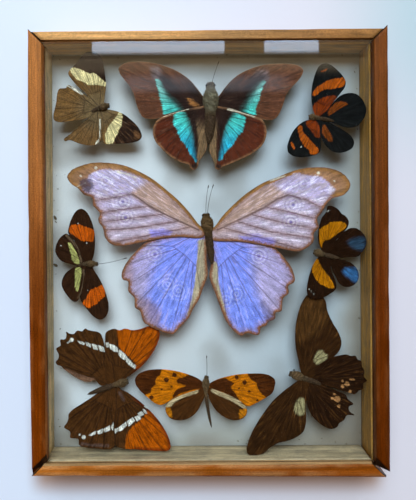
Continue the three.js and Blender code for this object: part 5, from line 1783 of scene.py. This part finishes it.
class DISPLAYCASE_OT_boards(Operator):
    """Finishes the mounting board and the back panel, and strews dust along the walls"""

    bl_idname = "displaycase.boards"
    bl_label = "Boards and dust"
    bl_options = {"REGISTER", "UNDO"}

    def execute(self, context):
        case = context.scene.display_case
        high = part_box("mounting_board")[1]
        paper = board_material(
            "pale_paper", case.paper, case.paper_right, case.paper_edge, case.paper_stain, high.x, high.y)
        for node, paint in (
            ("mounting_board", paper),
            ("back_panel", fibreboard_material("brown_fibreboard", case.panel, case.panel_dark)),
        ):
            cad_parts[node].data.materials.clear()
            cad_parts[node].data.materials.append(paint)
        make_piece("dust_crumbs", list(dust_parts(7)), dust_material("dust", case.dust, case.dust_dark))
        return {"FINISHED"}


class DISPLAYCASE_OT_glass(Operator):
    """Finishes the sheet of glass"""

    bl_idname = "displaycase.glass"
    bl_label = "Glass"
    bl_options = {"REGISTER", "UNDO"}

    def execute(self, context):
        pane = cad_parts["front_glass"].data
        pane.materials.clear()
        pane.materials.append(glass_material("clear_glass", context.scene.display_case.glass))
        return {"FINISHED"}


class StageSettings(PropertyGroup):
    """Light, camera and floor."""

    lens: FloatProperty(name="Lens", description="Focal length", unit="CAMERA", default=34.3)
    shift_x: FloatProperty(name="Shift right", description="Camera shift to the right", default=0.036)
    shift_y: FloatProperty(name="Shift up", description="Camera shift upwards", default=-0.07)
    fill: FloatProperty(name="Fill", description="Strength of the even light", default=0.18)
    window: FloatProperty(name="Window", description="Radiance of the window panes", default=7.6)
    sky: FloatProperty(name="Sky", description="Radiance of the soft light beyond the window", default=6.6)
    panes: FloatProperty(name="Panes", description="Radiance of the mirrored window panes", default=11.0)
    sill: FloatProperty(name="Sill", description="Radiance of the brown wall round the window", default=1.5)
    gleam: FloatProperty(
        name="Gleam", description="Radiance of a thin strip mirrored in the glass", default=1.4)
    floor: colour("Floor", "The pale surface below", 226, 232, 240)
    # Painted shade on the floor's right side and far right corner, and a warm painted shadow as the foot
    floor_right_shade: colour("Floor right", "The pale surface at the right", 226, 219, 220)
    floor_far_shade: colour("Floor far right", "The pale surface at the far right", 186, 206, 206)
    foot: colour("Foot", "Floor close to the lower side of the case", 170, 114, 60)
    window_tone: colour("Window light", "Colour of the window light", 216, 234, 255)
    sill_tone: colour("Sill light", "Colour of the brown wall round the window", 255, 232, 192)
    fill_tone: colour("Fill light", "Colour of the even light", 255, 218, 172)


class DISPLAYCASE_OT_stage(Operator):
    """Pale floor, two window panes, even fill light, and the camera above the case"""

    bl_idname = "displaycase.stage"
    bl_label = "Stage"
    bl_options = {"REGISTER", "UNDO"}

    def execute(self, context):
        stage = context.scene.display_stage
        self.lay_floor(stage)
        self.hang_lamp(stage, "window_left", (*PANES[0], *PANES_AWAY), stage.window)
        self.hang_lamp(stage, "window_right", (*PANES[1], *PANES_AWAY), stage.window)
        self.hang_lamp(stage, "sky", SKY, stage.sky)
        self.hang_card(stage)
        self.light_world(context, stage)
        self.place_camera(context, stage)
        context.scene.view_settings.view_transform = "Standard"
        return {"FINISHED"}

    def hang_lamp(self, stage, name, edges, radiance):
        """A lamp that fills a rectangle of the mirrored sheet, scaled up from the floor. Mirrors and glass
        don't show it."""
        left, right, near, far = (LAMP_SCALE * edge for edge in edges)
        lamp = bpy.data.lights.new(name, "AREA")
        lamp.shape = "RECTANGLE"
        lamp.size, lamp.size_y = right - left, far - near
        lamp.energy = radiance * math.pi * lamp.size * lamp.size_y
        lamp.color = stage.window_tone
        pane = bpy.data.objects.new(name, lamp)
        pane.location = ((left + right) / 2, (near + far) / 2, LAMP_SCALE * WINDOW_HEIGHT)
        pane.visible_glossy = pane.visible_transmission = False
        bpy.context.scene.collection.objects.link(pane)

    def place_camera(self, context, stage):
        """The camera where the eye is, looking straight down."""
        lens = bpy.data.cameras.new("camera")
        lens.lens, lens.shift_x, lens.shift_y = stage.lens, stage.shift_x, stage.shift_y
        lens.clip_start = 0.01
        camera = bpy.data.objects.new("camera", lens)
        camera.location = (EYE_X * MM, EYE_Y * MM, EYE_HEIGHT * MM)
        camera.rotation_euler = (0, 0, -PLAN_TURN)
        context.scene.collection.objects.link(camera)
        context.scene.camera = camera

    def lay_sheet(self, name, left, right, near, far, height):
        """A flat grid at one height, between four limits in metres."""
        across, away = np.linspace(left, right, SHEET_CORNERS), np.linspace(near, far, SHEET_CORNERS)
        x, y = np.meshgrid(across, away, indexing="ij")
        places = np.stack([x, y, np.full_like(x, height)], -1).reshape(-1, 3)
        index = np.arange(SHEET_CORNERS**2).reshape(SHEET_CORNERS, SHEET_CORNERS)
        faces = np.stack([index[:-1, :-1], index[1:, :-1], index[1:, 1:], index[:-1, 1:]], -1).reshape(-1, 4)
        mesh = bpy.data.meshes.new(name)
        mesh.from_pydata(places.tolist(), [], faces.tolist())
        sheet = bpy.data.objects.new(name, mesh)
        bpy.context.scene.collection.objects.link(sheet)
        return sheet

    def hang_card(self, stage):
        """What the glass mirrors, on a sheet that only mirrors see: two window panes with soft lower
        edges, the brown wall round them that fades downwards, and a thin pale streak."""
        card = self.lay_sheet("mirrored_wall", -1.2, 1.2, 0.35, 1.9, WINDOW_HEIGHT)
        card.visible_diffuse = card.visible_shadow = card.visible_transmission = False
        shader = Shader("mirrored_wall")
        place = shader.object_place()
        x, y, _ = shader.parts(place)

        def band(value, low, high, soft):
            """1 between two limits and 0 outside them, with soft edges."""
            rise = shader.step(value, low - soft, low + soft)
            return shader.times(rise, shader.step(value, high + soft, high - soft))

        panes = shader.plus(band(x, *PANES[0], 0.004), band(x, *PANES[1], 0.004))
        panes = shader.times(panes, shader.step(y, *SILL_RISE))
        wall = shader.times(shader.step(y, *WALL_RISE), shader.step(x, *WALL_DIM, 0.45, 1.0))
        sill = band(y, *SILL_SHADE, 0.003)
        wall = shader.times(wall, shader.step(sill, 0.0, 1.0, 1.0, 0.45))
        uneven = shader.noise(shader.stretched(place, (0.3, 1.5, 1.0)), 30.0, 3.0)
        wall = shader.times(wall, shader.step(uneven, 0.3, 0.7, 0.75, 1.2))
        streak = shader.times(band(y, *GLEAM_AWAY, 0.016), band(x, *GLEAM_ACROSS, 0.05))
        light = shader.shaded(stage.window_tone, shader.times(panes, stage.panes))
        glow = shader.shaded(stage.sill_tone, shader.times(wall, stage.sill))
        gleam = shader.shaded(stage.window_tone, shader.times(streak, stage.gleam))
        total = shader.mix(1.0, shader.mix(panes, glow, light), gleam, "ADD")
        card.data.materials.append(shader.finish(shader.node("ShaderNodeEmission", 0, None, Color=total)))

    def lay_floor(self, stage):
        """A flat grid under the case, painted with light and shade: its tone turns evenly from left to right
        into a painted shade, and again towards the far right corner into a darker one, and a warm painted
        shadow lies close to the lower side of the case."""
        floor = self.lay_sheet("floor", -FLOOR_REACH, FLOOR_REACH, -FLOOR_REACH, FLOOR_REACH, FLOOR_HEIGHT)
        shader = Shader("pale_floor")
        place = shader.object_place()
        x, y, _ = shader.parts(place)
        # Painted shade: darker and warmer towards the right, darker and greener in the far right corner
        paint = shader.mix(shader.step(x, *FLOOR_SHADE_TURN), stage.floor, stage.floor_right_shade)
        corner = shader.times(shader.step(x, *SHADE_CORNER_RIGHT), shader.step(y, *SHADE_CORNER_FAR))
        paint = shader.mix(corner, paint, stage.floor_far_shade)
        # The warm foot: a painted shadow along the lower side of the case
        foot = shader.times(shader.step(y, *FOOT_SHADOW_RISE, 0.0, 0.75), shader.step(y, *FOOT_SHADOW_STOP))
        beside = shader.step(shader.math("ABSOLUTE", x), *FOOT_SHADOW_ASIDE)
        paint = shader.mix(shader.times(foot, beside), paint, stage.foot)
        grain = shader.noise(place, 900.0, 3.0)
        surface = shader.surface(Base_Color=paint, Roughness=0.8, Normal=shader.bump(grain, 0.00005, 0.3))
        floor.data.materials.append(shader.finish(surface))

    def light_world(self, context, stage):
        """Even light from all round, which mirrors and glass don't show."""
        world = bpy.data.worlds.new("fill_light")
        world.use_nodes = True
        nodes, links = world.node_tree.nodes, world.node_tree.links
        nodes.clear()
        path = nodes.new("ShaderNodeLightPath")
        dim = nodes.new("ShaderNodeMath")
        dim.operation = "MULTIPLY_ADD"
        links.new(path.outputs["Is Glossy Ray"], dim.inputs[0])
        dim.inputs[1].default_value = -0.92 * stage.fill
        dim.inputs[2].default_value = stage.fill
        light = nodes.new("ShaderNodeBackground")
        light.inputs["Color"].default_value = (*stage.fill_tone, 1)
        links.new(dim.outputs[0], light.inputs["Strength"])
        links.new(light.outputs[0], nodes.new("ShaderNodeOutputWorld").inputs["Surface"])
        context.scene.world = world


OPERATORS = (
    DISPLAYCASE_OT_sides, DISPLAYCASE_OT_boards, DISPLAYCASE_OT_large_blue, DISPLAYCASE_OT_turquoise_band,
    DISPLAYCASE_OT_yellow_band, DISPLAYCASE_OT_orange_stripe, DISPLAYCASE_OT_red_patch,
    DISPLAYCASE_OT_blue_spot, DISPLAYCASE_OT_white_bar, DISPLAYCASE_OT_amber,
    DISPLAYCASE_OT_dark_swallowtail, DISPLAYCASE_OT_glass, DISPLAYCASE_OT_stage,
)

TONES = {
    "large_blue": LargeBlueTones, "turquoise_band": TurquoiseBandTones, "yellow_band": YellowBandTones,
    "orange_stripe": OrangeStripeTones, "red_patch": RedPatchTones, "blue_spot": BlueSpotTones,
    "white_bar": WhiteBarTones, "amber": AmberTones, "dark_swallowtail": DarkSwallowtailTones,
}


class DISPLAYCASE_PT_panel(Panel):
    """Lists the steps that build the display case"""

    bl_idname = "DISPLAYCASE_PT_panel"
    bl_label = "Butterfly display case"
    bl_space_type = "VIEW_3D"
    bl_region_type = "UI"
    bl_category = "Display case"

    def draw(self, context):
        for operator in OPERATORS:
            self.layout.operator(operator.bl_idname)


GROUPS = {"display_case": CaseSettings, "display_insects": InsectSettings, "display_stage": StageSettings}
GROUPS |= {"display_" + key: group for key, group in TONES.items()}
CLASSES = (*GROUPS.values(), *OPERATORS, DISPLAYCASE_PT_panel)


def register():
    """Makes the settings, the steps and the panel known, and hangs the settings on the scene."""
    for item in CLASSES:
        bpy.utils.register_class(item)
    for name, group in GROUPS.items():
        setattr(bpy.types.Scene, name, PointerProperty(type=group))


def unregister():
    """Takes them away again."""
    for name in GROUPS:
        delattr(bpy.types.Scene, name)
    for item in reversed(CLASSES):
        bpy.utils.unregister_class(item)


def main():
    """Runs every step in order."""
    register()
    for operator in OPERATORS:
        group, name = operator.bl_idname.split(".")
        getattr(getattr(bpy.ops, group), name)()


if __name__ == "__main__":
    main()
